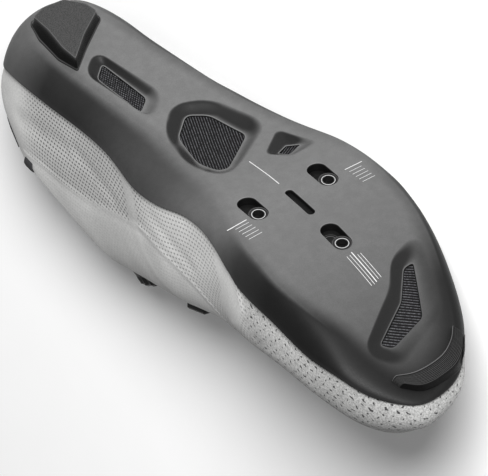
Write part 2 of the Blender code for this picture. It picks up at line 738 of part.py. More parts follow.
def make_toe_bumper(shop, sole):
    """Rubber bumper, seated in the sole's front edge."""
    bumper = bumper_layer(0.0, -TOE_BUMPER_HEIGHT, TOE_SEAT_DEPTH - CLEARANCE)
    shop.add("toe_bumper", bumper, "rubber")
    seat = bumper_layer(CLEARANCE, -2.0 * TOE_BUMPER_HEIGHT, TOE_SEAT_DEPTH)
    combine(sole, shop.add("toe_seat_cut", seat), "DIFFERENCE")


def throat_outline():
    """Plan outline of the throat: straight sides closing towards the toe, with a round end."""
    first, last = THROAT_LINE[0][0], THROAT_LINE[-1][0]
    inner, outer = [], []
    for step in range(THROAT_STEPS + 1):
        share = step / THROAT_STEPS
        along = first + (last - first) * share
        middle = curve_through(THROAT_LINE, along) * BALL_WIDTH
        half = throat_half_width(along)
        inner.append(Vector((middle - half, along * SOLE_LENGTH)))
        outer.append(Vector((middle + half, along * SOLE_LENGTH)))
    tip = []
    half = THROAT_WIDTH_TOE / 2.0
    centre = (inner[-1] + outer[-1]) / 2.0
    for step in range(1, 2 * CORNER_STEPS):
        turn = math.pi - math.pi * step / (2 * CORNER_STEPS)
        tip.append(centre + Vector((half * math.cos(turn), half * math.sin(turn))))
    return inner + tip + outer[::-1]


def throat_half_width(along):
    first, last = THROAT_LINE[0][0], THROAT_LINE[-1][0]
    share = max(0.0, min(1.0, (along - first) / (last - first)))
    return 0.5 * (THROAT_WIDTH_TOP + (THROAT_WIDTH_TOE - THROAT_WIDTH_TOP) * share)


def collar_cutter(shop):
    """Everything above the collar's top line, right across the shoe."""
    first, last = COLLAR_LINE[0][0], COLLAR_LINE[-1][0]
    line = []
    for step in range(COLLAR_STEPS + 1):
        along = first + (last - first) * step / COLLAR_STEPS
        line.append((along * SOLE_LENGTH, curve_through(COLLAR_LINE, along) * INSTEP_HEIGHT))
    top = CUT_TOP * INSTEP_HEIGHT
    profile = line + [(last * SOLE_LENGTH, top), (first * SOLE_LENGTH, top)]
    rings = [[Vector((side * BALL_WIDTH, y, z)) for y, z in profile] for side in (-1, 1)]
    return shop.add("collar_cut", loft(rings))


def make_upper(shop):
    """Hollow knitted upper, open at the collar and throat, and underneath where the sole closes it."""
    inner = offset_grid(UPPER, lambda station, column: -UPPER_WALL)
    upper = shop.add("upper", slab_mesh(UPPER, inner, closed_ends=False), "knit")
    combine(upper, collar_cutter(shop), "DIFFERENCE")
    outline = throat_outline()
    rings = [level_ring(outline, share * INSTEP_HEIGHT) for share in (THROAT_FLOOR, CUT_TOP)]
    combine(upper, shop.add("throat_cut", loft(rings)), "DIFFERENCE")
    return upper


def layer_under_upper(depth, first_row, last_row, reach):
    """Part of the arch round its ridge, a depth below the upper's outer face."""
    rows = offset_grid(UPPER, lambda station, column: -depth)[first_row:last_row + 1]
    return [row[RIDGE_COLUMN - reach:RIDGE_COLUMN + reach + 1] for row in rows]


def station_near(y):
    return min(range(STATIONS + 1), key=lambda station: abs(CUP[station][0].y - y))


def make_tongue(shop):
    """Padded tongue under the throat, a clearance below the upper's inner face."""
    first, last = [station_near(end * SOLE_LENGTH) for end in TONGUE_ENDS]
    top = UPPER_WALL + CLEARANCE
    outer = layer_under_upper(top, first, last, TONGUE_REACH)
    inner = layer_under_upper(top + TONGUE_THICKNESS, first, last, TONGUE_REACH)
    return shop.add("tongue", slab_mesh(outer, inner), "foam_lining")


def make_insole(shop):
    """Insole over the backing plates, inset from the upper's sides."""
    rows = []
    steps = INSOLE_STEPS
    for station in range(2, STATIONS - 1):
        angle = math.pi * station / STATIONS
        start = border_point(angle, INSOLE_INSET)
        end = border_point(2 * math.pi - angle, INSOLE_INSET)
        rows.append([start.lerp(end, step / steps) for step in range(steps + 1)])
    under = SOLE_THICKNESS + NUT_FLANGE + 3 * CLEARANCE
    lower = offset_grid(rows, lambda station, column: under)
    upper = offset_grid(rows, lambda station, column: under + INSOLE_THICKNESS)
    return shop.add("insole", slab_mesh(lower, upper), "foam_lining")


def make_dial(shop):
    """Lace dial on the tongue: a base that follows the tongue, and a ribbed knob."""
    x = curve_through(THROAT_LINE, DIAL_ALONG) * BALL_WIDTH
    point, normal = instep_surface(x, DIAL_ALONG * SOLE_LENGTH)
    frame = Matrix.Translation(point) @ normal.to_track_quat("Z", "Y").to_matrix().to_4x4()
    base_top = DIAL_BASE_HEIGHT - UPPER_WALL
    body = bmesh.new()
    bmesh.ops.create_cone(
        body, cap_ends=True, segments=DIAL_SEGMENTS, radius1=DIAL_RADIUS + DIAL_BASE_FLARE, radius2=DIAL_RADIUS,
        depth=base_top + DIAL_ROOT, matrix=frame @ Matrix.Translation((0, 0, (base_top - DIAL_ROOT) / 2.0)),
    )
    base = shop.add("dial_base", body, "black_plastic")
    first, last = station_near(0.14 * SOLE_LENGTH), station_near(0.45 * SOLE_LENGTH)
    near = layer_under_upper(UPPER_WALL, first, last, ARCH_STEPS // 2 - 1)
    deep = layer_under_upper(UPPER_WALL + 2.0 * FORM_DEPTH, first, last, ARCH_STEPS // 2 - 1)
    combine(base, shop.add("tongue_form", slab_mesh(near, deep)), "DIFFERENCE")
    rings = []
    for height, shrink in ((0.0, 0.0), (0.75, 0.0), (1.0, DIAL_TOP_CHAMFER)):
        ring = []
        for step in range(2 * DIAL_RIBS):
            turn = math.pi * step / DIAL_RIBS
            radius = DIAL_RADIUS - shrink - (DIAL_RIB_DEPTH if step % 2 else 0.0)
            z = base_top + CLEARANCE + height * DIAL_HEIGHT
            ring.append(frame @ Vector((radius * math.cos(turn), radius * math.sin(turn), z)))
        rings.append(ring)
    return shop.add("dial_knob", loft(rings), "black_plastic")


def throat_edge(side, along, beyond):
    """Point on the upper beside the throat, a distance outside its edge."""
    middle = curve_through(THROAT_LINE, along) * BALL_WIDTH
    return middle + side * (throat_half_width(along) + beyond), along * SOLE_LENGTH


def cable_route():
    """Points of the lace cable: from the dial, through each guide, crossing the throat between them."""
    stops = []
    dial_x = curve_through(THROAT_LINE, DIAL_ALONG) * BALL_WIDTH
    start_y = DIAL_ALONG * SOLE_LENGTH
    stops.append((dial_x + 0.50 * DIAL_RADIUS, start_y + 0.95 * DIAL_RADIUS, CABLE_START_LIFT))
    for side, along in GUIDES:
        x, y = throat_edge(side, along, GUIDE_OFFSET)
        stops.append(((stops[-1][0] + x) / 2.0, (stops[-1][1] + y - GUIDE_LENGTH / 2.0) / 2.0, CABLE_SAG))
        for share in (-0.5, 0.0, 0.5):
            stops.append((x, y + share * GUIDE_LENGTH, CABLE_LIFT))
    stops[-1] = (stops[-1][0], stops[-1][1] - 0.25 * GUIDE_LENGTH, stops[-1][2])
    points = []
    for x, y, lift in stops:
        point, normal = instep_surface(x, y)
        points.append(point + normal * lift)
    return points


def smooth_route(points, steps=2):
    """Route read from one smooth curve through its points."""
    knots = [0.0]
    for before, after in zip(points, points[1:]):
        knots.append(knots[-1] + (after - before).length)
    result = []
    for index in range(len(points) - 1):
        for step in range(steps):
            place = knots[index] + (knots[index + 1] - knots[index]) * step / steps
            result.append(Vector([
                curve_through([(k, p[axis]) for k, p in zip(knots, points)], place) for axis in range(3)
            ]))
    result.append(points[-1].copy())
    return result


def tube(shop, name, points, radius, material=None):
    """Tube of one radius along a route, turned into a mesh with welded caps."""
    data = bpy.data.curves.new(name, "CURVE")
    data.dimensions = "3D"
    data.bevel_depth = radius
    data.bevel_resolution = 2
    data.use_fill_caps = True
    spline = data.splines.new("POLY")
    spline.points.add(len(points) - 1)
    for target, point in zip(spline.points, points):
        target.co = (*point, 1.0)
    holder = bpy.data.objects.new(name + "_line", data)
    shop.cutters.objects.link(holder)
    graph = bpy.context.evaluated_depsgraph_get()
    evaluated = bpy.data.meshes.new_from_object(holder.evaluated_get(graph))
    mesh = bmesh.new()
    mesh.from_mesh(evaluated)
    bmesh.ops.remove_doubles(mesh, verts=mesh.verts, dist=1e-6)
    bpy.data.objects.remove(holder, do_unlink=True)
    return shop.add(name, mesh, material)


def make_closure(shop):
    """Cable and the guides that it runs through."""
    route = smooth_route(cable_route())
    tube(shop, "lace_cable", route, CABLE_RADIUS, "black_plastic")
    channel = tube(shop, "cable_channel", route, CABLE_RADIUS + CLEARANCE)
    outside = offset_grid(UPPER, lambda station, column: CLEARANCE)
    inside = offset_grid(UPPER, lambda station, column: -FORM_DEPTH)
    first, last = station_near(0.25 * SOLE_LENGTH), station_near(0.75 * SOLE_LENGTH)
    reach = ARCH_STEPS // 2 - 1
    columns = slice(RIDGE_COLUMN - reach, RIDGE_COLUMN + reach + 1)
    faces = [[row[columns] for row in grid[first:last + 1]] for grid in (outside, inside)]
    upper_form = shop.add("upper_form", slab_mesh(*faces))
    for index, (side, along) in enumerate(GUIDES, 1):
        x, y = throat_edge(side, along, GUIDE_OFFSET)
        point, normal = instep_surface(x, y)
        ahead = instep_surface(*throat_edge(side, along + 0.01, GUIDE_OFFSET))[0]
        forward = (ahead - point).normalized()
        across = forward.cross(normal).normalized()
        frame = Matrix((across, forward, normal)).transposed().to_4x4()
        frame.translation = point
        block = bmesh.new()
        bmesh.ops.create_cube(block, size=1.0)
        bmesh.ops.scale(block, vec=(GUIDE_WIDTH, GUIDE_LENGTH, GUIDE_HEIGHT + GUIDE_ROOT), verts=block.verts)
        bmesh.ops.bevel(block, geom=block.edges, offset=GUIDE_CHAMFER, segments=1, affect="EDGES")
        bmesh.ops.translate(block, vec=(0, 0, (GUIDE_HEIGHT - GUIDE_ROOT) / 2.0), verts=block.verts)
        bmesh.ops.transform(block, matrix=frame, verts=block.verts)
        guide = shop.add("cable_guide_%d" % index, block, "black_plastic")
        combine(guide, upper_form, "DIFFERENCE")
        combine(guide, channel, "DIFFERENCE")


def make_heel_patch(shop):
    """Dark patch round the back of the heel, on the upper's own form."""
    low, high = HEEL_PATCH_BAND
    inner_reach, outer_reach = HEEL_PATCH_REACH
    loop = []
    columns = range(FIRST_ARCH_COLUMN + 1, RIDGE_COLUMN)
    mirror = 2 * RIDGE_COLUMN
    for station in range(inner_reach, 0, -1):
        loop.append([(station, column) for column in columns])
    for station in range(outer_reach + 1):
        loop.append([(station, mirror - column) for column in columns])
    near = offset_grid(UPPER, lambda station, column: CLEARANCE)
    far = offset_grid(UPPER, lambda station, column: CLEARANCE + HEEL_PATCH_THICKNESS)

    def strip(rows, height):
        points = []
        for line in loop:
            knots = sorted((rows[s][c].z, rows[s][c]) for s, c in line)
            for (z0, p0), (z1, p1) in zip(knots, knots[1:]):
                if z0 <= height <= z1:
                    points.append(p0.lerp(p1, (height - z0) / (z1 - z0)))
                    break
        return points

    levels = [INSTEP_HEIGHT * (low + (high - low) * step / 3) for step in range(4)]
    patch = slab_mesh([strip(near, z) for z in levels], [strip(far, z) for z in levels])
    return shop.add("heel_patch", patch, "foam_lining")


def make_pull_tab(shop):
    """Small pull tab standing out of the collar, inside the wall at the back of the inner side."""
    wall = offset_grid(UPPER, lambda station, column: -(UPPER_WALL + CLEARANCE))
    place = wall[PULL_TAB_STATION]
    beside = wall[PULL_TAB_STATION + 1]
    rim = curve_through(COLLAR_LINE, place[0].y / SOLE_LENGTH) * INSTEP_HEIGHT
    columns = range(FIRST_ARCH_COLUMN, RIDGE_COLUMN)
    column = min(columns, key=lambda c: abs(place[c].z - rim))
    point = place[column].copy()
    up = (place[column + 1] - place[column - 1]).normalized()
    along = beside[column] - place[column]
    along = (along - up * along.dot(up)).normalized()
    inward = up.cross(along)
    if inward.x < 0:
        inward = -inward
    point += up * ((rim - point.z) / max(up.z, 0.2))
    frame = Matrix((along, inward, up)).transposed().to_4x4()
    frame.translation = point
    block = bmesh.new()
    bmesh.ops.create_cube(block, size=1.0)
    height = 3.0 * PULL_TAB_RISE
    bmesh.ops.scale(block, vec=(PULL_TAB_WIDTH, PULL_TAB_THICKNESS, height), verts=block.verts)
    bmesh.ops.bevel(block, geom=block.edges, offset=PULL_TAB_CHAMFER, segments=2, affect="EDGES")
    shift = (0, PULL_TAB_THICKNESS / 2.0 + PULL_TAB_GAP, PULL_TAB_RISE - height / 2.0)
    bmesh.ops.translate(block, vec=shift, verts=block.verts)
    bmesh.ops.transform(block, matrix=frame, verts=block.verts)
    return shop.add("pull_tab", block, "black_plastic")


def measured_mesh(item, graph):
    """Corners and triangles of an object as modelled, upright."""
    evaluated = item.evaluated_get(graph)
    mesh = evaluated.to_mesh()
    mesh.calc_loop_triangles()
    corners = [vertex.co.copy() for vertex in mesh.vertices]
    triangles = [tuple(triangle.vertices) for triangle in mesh.loop_triangles]
    evaluated.to_mesh_clear()
    return corners, triangles


def lay_on_side(shop):
    """Turns the carrier so that the shoe rests on its outer side, on the hull face below its weight."""
    graph = bpy.context.evaluated_depsgraph_get()
    hull, weight, moment = bmesh.new(), 0.0, Vector()
    for item in shop.parts.objects:
        if item.type != "MESH":
            continue
        corners, triangles = measured_mesh(item, graph)
        for a, b, c in triangles:
            volume = corners[a].dot(corners[b].cross(corners[c])) / 6.0
            weight += volume
            moment += (corners[a] + corners[b] + corners[c]) * volume / 4.0
        for corner in corners:
            hull.verts.new(corner)
    centre = moment / weight
    bmesh.ops.convex_hull(hull, input=hull.verts)
    down = Vector((0, 0, -1))
    for face in hull.faces:
        normal = face.normal if face.normal.dot(face.calc_center_median() - centre) > 0 else -face.normal
        foot = centre + normal * (face.calc_center_median() - centre).dot(normal)
        margins = []
        for loop in face.loops:
            start, end = loop.vert.co, loop.link_loop_next.vert.co
            side = normal.cross(end - start).normalized()
            middle_side = side.dot(face.calc_center_median() - start)
            margins.append(side.dot(foot - start) * math.copysign(1.0, middle_side))
        if min(margins) > 0 and normal.x > down.x:
            down = normal.copy()
    forward = Vector((0, 1, 0)) - down * down.y
    forward.normalize()
    up = -down
    right = forward.cross(up)
    turn = Matrix((right, forward, up)).to_4x4()
    turned = [turn @ vertex.co for vertex in hull.verts]
    low = [min(point[axis] for point in turned) for axis in range(3)]
    high = [max(point[axis] for point in turned) for axis in range(3)]
    middle = Vector(((low[0] + high[0]) / 2.0, (low[1] + high[1]) / 2.0, low[2]))
    hull.free()
    shop.carrier.matrix_world = Matrix.Translation(-middle) @ turn


def build():
    shop = Workshop()
    sole = make_sole(shop)
    make_windows(shop, sole)
    make_cleat_fixings(shop, sole)
    make_heel_pad(shop, sole)
    make_toe_bumper(shop, sole)
    make_upper(shop)
    make_tongue(shop)
    make_insole(shop)
    make_dial(shop)
    make_closure(shop)
    make_heel_patch(shop)
    make_pull_tab(shop)
    lay_on_side(shop)
    bpy.context.view_layer.update()


build()
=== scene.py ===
import json
import math

import bmesh
import bpy
import numpy as np
from mathutils import Matrix, Vector
from mathutils.bvhtree import BVHTree
from mathutils.geometry import delaunay_2d_cdt

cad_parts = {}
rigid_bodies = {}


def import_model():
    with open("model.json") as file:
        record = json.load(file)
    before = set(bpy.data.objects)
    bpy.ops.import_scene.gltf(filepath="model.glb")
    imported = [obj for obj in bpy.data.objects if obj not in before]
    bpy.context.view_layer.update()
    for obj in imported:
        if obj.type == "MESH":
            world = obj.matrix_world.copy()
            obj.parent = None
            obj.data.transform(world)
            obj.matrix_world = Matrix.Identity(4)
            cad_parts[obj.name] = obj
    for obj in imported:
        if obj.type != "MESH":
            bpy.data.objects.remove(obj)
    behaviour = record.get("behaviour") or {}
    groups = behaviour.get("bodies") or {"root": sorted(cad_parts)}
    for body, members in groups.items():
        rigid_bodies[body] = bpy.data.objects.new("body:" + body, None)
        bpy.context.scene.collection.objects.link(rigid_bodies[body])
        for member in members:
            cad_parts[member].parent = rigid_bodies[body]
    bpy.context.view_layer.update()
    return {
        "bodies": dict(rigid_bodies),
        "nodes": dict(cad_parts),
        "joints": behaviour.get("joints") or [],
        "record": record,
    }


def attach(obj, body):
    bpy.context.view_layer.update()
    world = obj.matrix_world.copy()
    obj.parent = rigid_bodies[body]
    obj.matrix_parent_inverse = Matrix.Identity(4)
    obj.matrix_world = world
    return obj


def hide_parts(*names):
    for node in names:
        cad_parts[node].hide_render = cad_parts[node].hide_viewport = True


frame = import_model()
nodes = frame["nodes"]

# The shoe's own frame, as in the part's source: X to the outer side, Y to the toe, Z up from the ground, in
# metres. LAID turns that frame onto the side that the shoe rests on.
LAID = Matrix((
    (-0.11122094, 0.0, 0.99379569, -0.05943468),
    (0.20957153, 0.97751200, 0.02345421, -0.12787963),
    (-0.97144723, 0.21087988, -0.10871981, 0.01250797),
    (0.0, 0.0, 0.0, 1.0),
))
MM = 0.001

# Sizes of the solids, repeated from the part's source
SOLE_LENGTH = 0.284
BALL_WIDTH = 0.090
TOE_SPRING = 0.030
RIM_HEIGHT = 0.030
INSTEP_HEIGHT = 0.110
UPPER_WALL = 0.0016
CUP_WALL = 0.0015
SOLE_THICKNESS = 0.0042
CLEARANCE = 0.0003
TONGUE_THICKNESS = 0.003
BOLT_SPREAD = 0.036
BOLT_PITCH = 0.036
BOLT_ALONG = 0.583 * SOLE_LENGTH
SLOT_WIDTH = 0.0092
SLOT_TRAVEL = 0.0085
CENTRE_SLOT_WIDTH = 0.0042
CENTRE_SLOT_ENDS = (BOLT_ALONG - 0.0052, BOLT_ALONG + 0.0150)
TOE_BUMPER_HEIGHT = 0.0032
THROAT_WIDTH_TOP = 0.029
THROAT_WIDTH_TOE = 0.017
ARCH_FULLNESS = 0.78
ARCH_SPACING = 1.30
HEEL_CURVE_REACH = 0.080
TOE_CURVE_REACH = 0.050

BOTTOM_PROFILE = (
    (-0.05, 0.33), (0.00, 0.32), (0.10, 0.30), (0.21, 0.33), (0.32, 0.40), (0.42, 0.42),
    (0.53, 0.22), (0.63, 0.12), (0.72, 0.12), (0.83, 0.28), (0.915, 0.61), (1.00, 1.01),
)
# Edge of the flat under side: along, inner side across, outer side across
BORDER = (
    (0.014, -0.160, -0.160), (0.028, -0.305, -0.035), (0.070, -0.360, 0.010), (0.120, -0.372, 0.050),
    (0.173, -0.350, 0.080), (0.275, -0.290, 0.170), (0.338, -0.255, 0.228), (0.405, -0.245, 0.310),
    (0.461, -0.255, 0.365), (0.511, -0.283, 0.405), (0.570, -0.328, 0.430), (0.630, -0.383, 0.430),
    (0.687, -0.400, 0.417), (0.725, -0.405, 0.400), (0.796, -0.372, 0.340), (0.852, -0.322, 0.272),
    (0.887, -0.290, 0.222), (0.923, -0.245, 0.155), (0.948, -0.190, 0.070), (0.967, -0.070, -0.070),
)
# Rim of the cup: along, inner side across and height, outer side across and height
RIM = (
    (-0.042, -0.175, 1.00, -0.175, 1.00), (0.000, -0.452, 1.00, 0.060, 1.00),
    (0.040, -0.492, 0.90, 0.105, 0.92), (0.134, -0.486, 0.80, 0.145, 0.84),
    (0.240, -0.467, 0.68, 0.200, 0.80), (0.303, -0.467, 0.64, 0.277, 0.83),
    (0.370, -0.467, 0.79, 0.350, 0.90), (0.430, -0.467, 0.66, 0.405, 0.83),
    (0.500, -0.440, 0.44, 0.455, 0.63), (0.556, -0.440, 0.40, 0.480, 0.53),
    (0.623, -0.467, 0.52, 0.500, 0.53), (0.658, -0.472, 0.64, 0.500, 0.57),
    (0.746, -0.472, 0.62, 0.452, 0.60), (0.827, -0.461, 0.66, 0.374, 0.67),
    (0.887, -0.425, 0.65, 0.294, 0.74), (0.933, -0.355, 0.78, 0.200, 0.83),
    (0.968, -0.250, 0.87, 0.085, 0.92), (0.986, -0.110, 0.92, -0.110, 0.92),
)
# Ridge of the upper: along, across, height, swell of the walls
RIDGE = (
    (-0.042, -0.175, 0.95, 0.074), (0.035, -0.175, 1.02, 0.064), (0.140, -0.185, 1.06, 0.032),
    (0.211, -0.195, 1.05, 0.025), (0.264, -0.195, 0.990, 0.020), (0.373, -0.165, 0.895, 0.020),
    (0.472, -0.130, 0.810, 0.030), (0.599, -0.080, 0.710, 0.040), (0.669, -0.068, 0.635, 0.050),
    (0.740, -0.075, 0.575, 0.060), (0.828, -0.095, 0.525, 0.065), (0.900, -0.125, 0.515, 0.050),
    (0.951, -0.145, 0.485, 0.035), (0.986, -0.110, 0.435, 0.030),
)
HEEL_CURVE = (
    (0.20, 0.000), (0.27, 0.010), (0.38, 0.029), (0.50, 0.026), (0.62, -0.002), (0.74, -0.024),
    (0.86, -0.028), (1.10, -0.020),
)
TOE_CURVE = (
    (0.20, 0.000), (0.24, 0.004), (0.28, 0.012), (0.33, 0.017), (0.38, 0.012), (0.43, 0.000), (0.55, -0.012),
)
COLLAR_LINE = (
    (-0.080, 0.830), (-0.030, 0.800), (0.020, 0.735), (0.070, 0.722), (0.125, 0.770), (0.190, 0.848),
    (0.225, 0.900), (0.250, 0.945),
)
THROAT_LINE = ((0.215, -0.152), (0.40, -0.097), (0.52, -0.047), (0.645, -0.012))

# Windows: corner by corner, mesh outline (x, y) and recess outline (x, y), in millimetres; then corner radius
WINDOWS = {
    "heel": ((
        (-16.8, 43.6, -16.7, 38.7), (-12.4, 71.5, -7.5, 74.7), (-19.2, 77.2, -17.5, 83.5),
        (-23.4, 49.8, -26.0, 47.0),
    ), 2.2),
    "middle": ((
        (-3.8, 89.1, -6.9, 83.6), (4.6, 94.6, 8.1, 89.2), (11.2, 113.5, 20.1, 113.5),
        (-7.8, 127.6, -8.5, 132.4), (-12.1, 125.6, -14.4, 130.0), (-15.8, 116.0, -19.6, 118.0),
        (-14.0, 98.5, -18.4, 97.0),
    ), 3.0),
    "side": ((
        (14.2, 133.4, 9.1, 132.4), (19.8, 131.0, 21.8, 122.0), (24.8, 134.6, 28.8, 140.6),
        (17.0, 137.6, 16.0, 140.8),
    ), 1.0),
    "toe": ((
        (20.3, 224.7, 27.3, 217.0), (8.5, 248.2, 16.6, 249.0), (-10.5, 253.9, -12.7, 261.1),
        (-14.9, 250.5, -21.3, 252.3), (4.2, 238.7, 3.7, 234.7), (15.0, 225.2, 13.9, 221.8),
    ), 2.0),
}
# Alignment lines printed on the sole: start (x, y), end (x, y) and width, in millimetres
PRINTED_LINES = (
    (0.0, 132.2, 0.0, 154.8, 0.36),
    (27.0, 165.0, 35.7, 165.0, 0.36),
    (-34.8, 166.8, -24.4, 166.0, 0.40),
    (0.0, 208.4, 0.0, 227.0, 0.40),
    (1.5, 210.9, 1.5, 226.0, 0.20),
    (3.0, 210.9, 3.0, 226.0, 0.20),
    (-1.5, 209.4, -1.5, 227.6, 0.20),
    (-3.0, 209.4, -3.0, 227.6, 0.20),
)
# Ladders of thin lines beside the rear slots: first line as above, step across, step along, number of lines
PRINTED_LADDERS = (
    ((27.6, 167.4, 33.9, 167.4, 0.18), 0.2, 2.2, 5),
    ((-31.6, 168.4, -24.6, 168.0, 0.18), 0.2, 2.2, 5),
)

WALL_STEPS = 22
FLAT_SPACING = 1.2 * MM
HOLE_SPACING = 1.2 * MM
# Least height of the knit above the floor that the shoe lies on
FLOOR_GAP = 0.02 * MM
# Rows of points inside the edge of the flat under side, in millimetres from it
BORDER_RINGS = (0.6, 1.2, 1.8, 2.5, 3.3, 4.2, 5.2)
CORNER_STEPS = 6
# Reach of the soft shoulder round each recess, in millimetres
SHOULDER = {"heel": 1.8, "middle": 1.9, "side": 1.2, "toe": 2.8}
# Direction, across and along, in which each recess wall is painted lightest; walls that face the other way
# get the most painted shade
SHADE_AWAY = {"heel": (0.14, 0.99), "middle": (0.14, 0.99), "side": (0.14, 0.99), "toe": (1.10, 0.45)}
# Wall of a window's recess: share of the way from the recess outline to the mesh outline, and depth
RECESS_PROFILE = (
    (0.0, 0.0), (0.07, 0.03), (0.15, 0.13), (0.24, 0.36), (0.34, 0.74), (0.46, 1.22), (0.58, 1.64),
    (0.70, 1.98), (0.80, 2.20), (0.88, 2.32), (0.94, 2.36),
)
# Frame round the mesh and wall down to it: distance inside the mesh outline, and depth, in millimetres
FRAME_PROFILE = ((-0.35, 2.30), (-0.10, 2.30), (0.05, 2.42), (0.12, 2.75), (0.16, 3.60))
# Wall of a slot: distance inside its outline and depth, in millimetres
SLOT_PROFILE = ((0.0, 0.0), (0.10, 0.03), (0.22, 0.14), (0.30, 0.34), (0.32, 1.2), (0.32, 4.3))


def curve(knots, at):
    """Smooth curve through (position, value) knots, read at an array of positions."""
    place, value = np.array(knots, float).T
    before = np.maximum(np.arange(len(place)) - 1, 0)
    after = np.minimum(np.arange(len(place)) + 1, len(place) - 1)
    slope = (value[after] - value[before]) / (place[after] - place[before])
    at = np.clip(at, place[0], place[-1])
    i = np.clip(np.searchsorted(place, at, side="right") - 1, 0, len(place) - 2)
    step = place[i + 1] - place[i]
    s = (at - place[i]) / step
    return (
        (2 * s**3 - 3 * s**2 + 1) * value[i] + (s**3 - 2 * s**2 + s) * step * slope[i]
        + (3 * s**2 - 2 * s**3) * value[i + 1] + (s**3 - s**2) * step * slope[i + 1]
    )


def column(table, index):
    return [(row[0], row[index]) for row in table]


def loop_knots(table, inner_column, outer_column):
    """Knots of one value round the outline: inner side 0 to pi, outer side pi to 2 pi, and some overlap."""
    first, last = table[0][0], table[-1][0]

    def angle(along):
        return math.acos(max(-1.0, min(1.0, 1.0 - 2.0 * (along - first) / (last - first))))

    inner = [(angle(row[0]), row[inner_column]) for row in table]
    outer = [(2 * math.pi - angle(row[0]), row[outer_column]) for row in table[-2:0:-1]]
    once = inner + outer
    before = [(place - 2 * math.pi, value) for place, value in once[-3:]]
    return before + once + [(place + 2 * math.pi, value) for place, value in once[:4]]


BORDER_KNOTS = loop_knots(BORDER, 1, 2)
RIM_KNOTS = loop_knots(RIM, 1, 3)
RIM_HEIGHT_KNOTS = loop_knots(RIM, 2, 4)


def bottom_height(y):
    return curve(BOTTOM_PROFILE, y / SOLE_LENGTH) * TOE_SPRING


def along_at(table, angle):
    first, last = table[0][0], table[-1][0]
    return SOLE_LENGTH * (first + (last - first) * (1.0 - np.cos(angle)) / 2.0)


def border_points(angle):
    y = along_at(BORDER, angle)
    return np.stack([curve(BORDER_KNOTS, angle) * BALL_WIDTH, y, bottom_height(y)], -1)


def rim_points(angle):
    x = curve(RIM_KNOTS, angle) * BALL_WIDTH
    z = curve(RIM_HEIGHT_KNOTS, angle) * RIM_HEIGHT
    return np.stack([x, along_at(RIM, angle), z], -1)


def cup_wall(angle, share):
    """Outer face of the cup's side, from the rim (share 0) to the flat bottom (share 1)."""
    rim, border = rim_points(angle)[:, None, :], border_points(angle)[:, None, :]
    upper_pull = rim + 0.12 * (border - rim)
    upper_pull[..., 2] = rim[..., 2] + 0.55 * (border[..., 2] - rim[..., 2])
    lower_pull = border + 0.50 * (rim - border)
    lower_pull[..., 2] = border[..., 2] + 0.06 * (rim[..., 2] - border[..., 2])
    s = share[None, :, None]
    return (
        rim * (1 - s)**3 + upper_pull * 3 * (1 - s)**2 * s + lower_pull * 3 * (1 - s) * s**2 + border * s**3
    )


def station_angles(spacing):
    """Angles from heel end to toe end: even steps along the middle, and finer ones round both ends."""
    half_length = 0.5 * SOLE_LENGTH * (RIM[-1][0] - RIM[0][0])
    angles, angle = [0.0], 0.0
    while angle < math.pi / 2:
        angle += min(math.pi / 150, spacing / (half_length * max(math.sin(angle), 0.02)))
        angles.append(angle)
    angles = np.array(angles) * (math.pi / 2) / angles[-1]
    return np.concatenate([angles, math.pi - angles[-2::-1]])


def above_floor(points):
    """The same points, with those that would go into the floor lifted onto it."""
    matrix = np.array(LAID)
    world = laid(points)
    world[:, 2] = np.maximum(world[:, 2], FLOOR_GAP)
    return ((world - matrix[:3, 3]) @ matrix[:3, :3]).reshape(np.shape(points))


def grid_normals(grid):
    """Unit normals of a grid of points; collapsed rows take those of the next row."""
    normal = np.cross(np.gradient(grid, axis=0), np.gradient(grid, axis=1))
    length = np.linalg.norm(normal, axis=-1, keepdims=True)
    normal = np.where(length > 1e-14, normal / np.maximum(length, 1e-14), 0.0)
    for end, inner in ((0, 2), (-1, -3)):
        normal[end] = normal[inner]
    return normal


def laid(points):
    """Points of the shoe's own frame, in the frame it lies in."""
    matrix = np.array(LAID)
    return np.asarray(points).reshape(-1, 3) @ matrix[:3, :3].T + matrix[:3, 3]


def shoe_object(name, points, faces, material, values=None, smooth=35.0):
    """Piece from points in the shoe's frame, with named values, one for each point, that materials read."""
    mesh = bpy.data.meshes.new(name)
    mesh.from_pydata(laid(points).tolist(), [], faces)
    for key, data in (values or {}).items():
        mesh.attributes.new(key, "FLOAT", "POINT").data.foreach_set("value", np.asarray(data, float).ravel())
    work = bmesh.new()
    work.from_mesh(mesh)
    bmesh.ops.remove_doubles(work, verts=work.verts, dist=2e-6)
    bmesh.ops.recalc_face_normals(work, faces=work.faces)
    work.to_mesh(mesh)
    work.free()
    mesh.materials.append(material)
    mesh.shade_smooth()
    mesh.set_sharp_from_angle(angle=math.radians(smooth))
    piece = bpy.data.objects.new(name, mesh)
    bpy.context.scene.collection.objects.link(piece)
    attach(piece, "root")
    return piece


def grid_faces(rows, columns, wrap=False, start=0):
    """Quads of a grid of points, as corner numbers; wrap joins its last column to the first."""
    row = np.arange(rows - 1)[:, None] * columns
    column = np.arange(columns if wrap else columns - 1)[None, :]
    following = (column + 1) % columns
    below = row + columns
    quads = np.stack([row + column, row + following, below + following, below + column], -1)
    return (quads.reshape(-1, 4) + start).tolist()


def smoothstep(low, high, value):
    t = np.clip((value - low) / (high - low), 0.0, 1.0)
    return t * t * (3.0 - 2.0 * t)


def rounded_outline(corners, radius):
    """Outline through corners whose tips are rounded by short curves."""
    corners = np.asarray(corners, float)
    points = []
    for index, corner in enumerate(corners):
        before, after = corners[index - 1], corners[(index + 1) % len(corners)]
        arrive = corner + (before - corner) * min(0.45, radius / np.linalg.norm(before - corner))
        leave = corner + (after - corner) * min(0.45, radius / np.linalg.norm(after - corner))
        for step in range(CORNER_STEPS + 1):
            s = step / CORNER_STEPS
            first = arrive + (corner - arrive) * s
            second = corner + (leave - corner) * s
            points.append(first + (second - first) * s)
    return np.array(points)


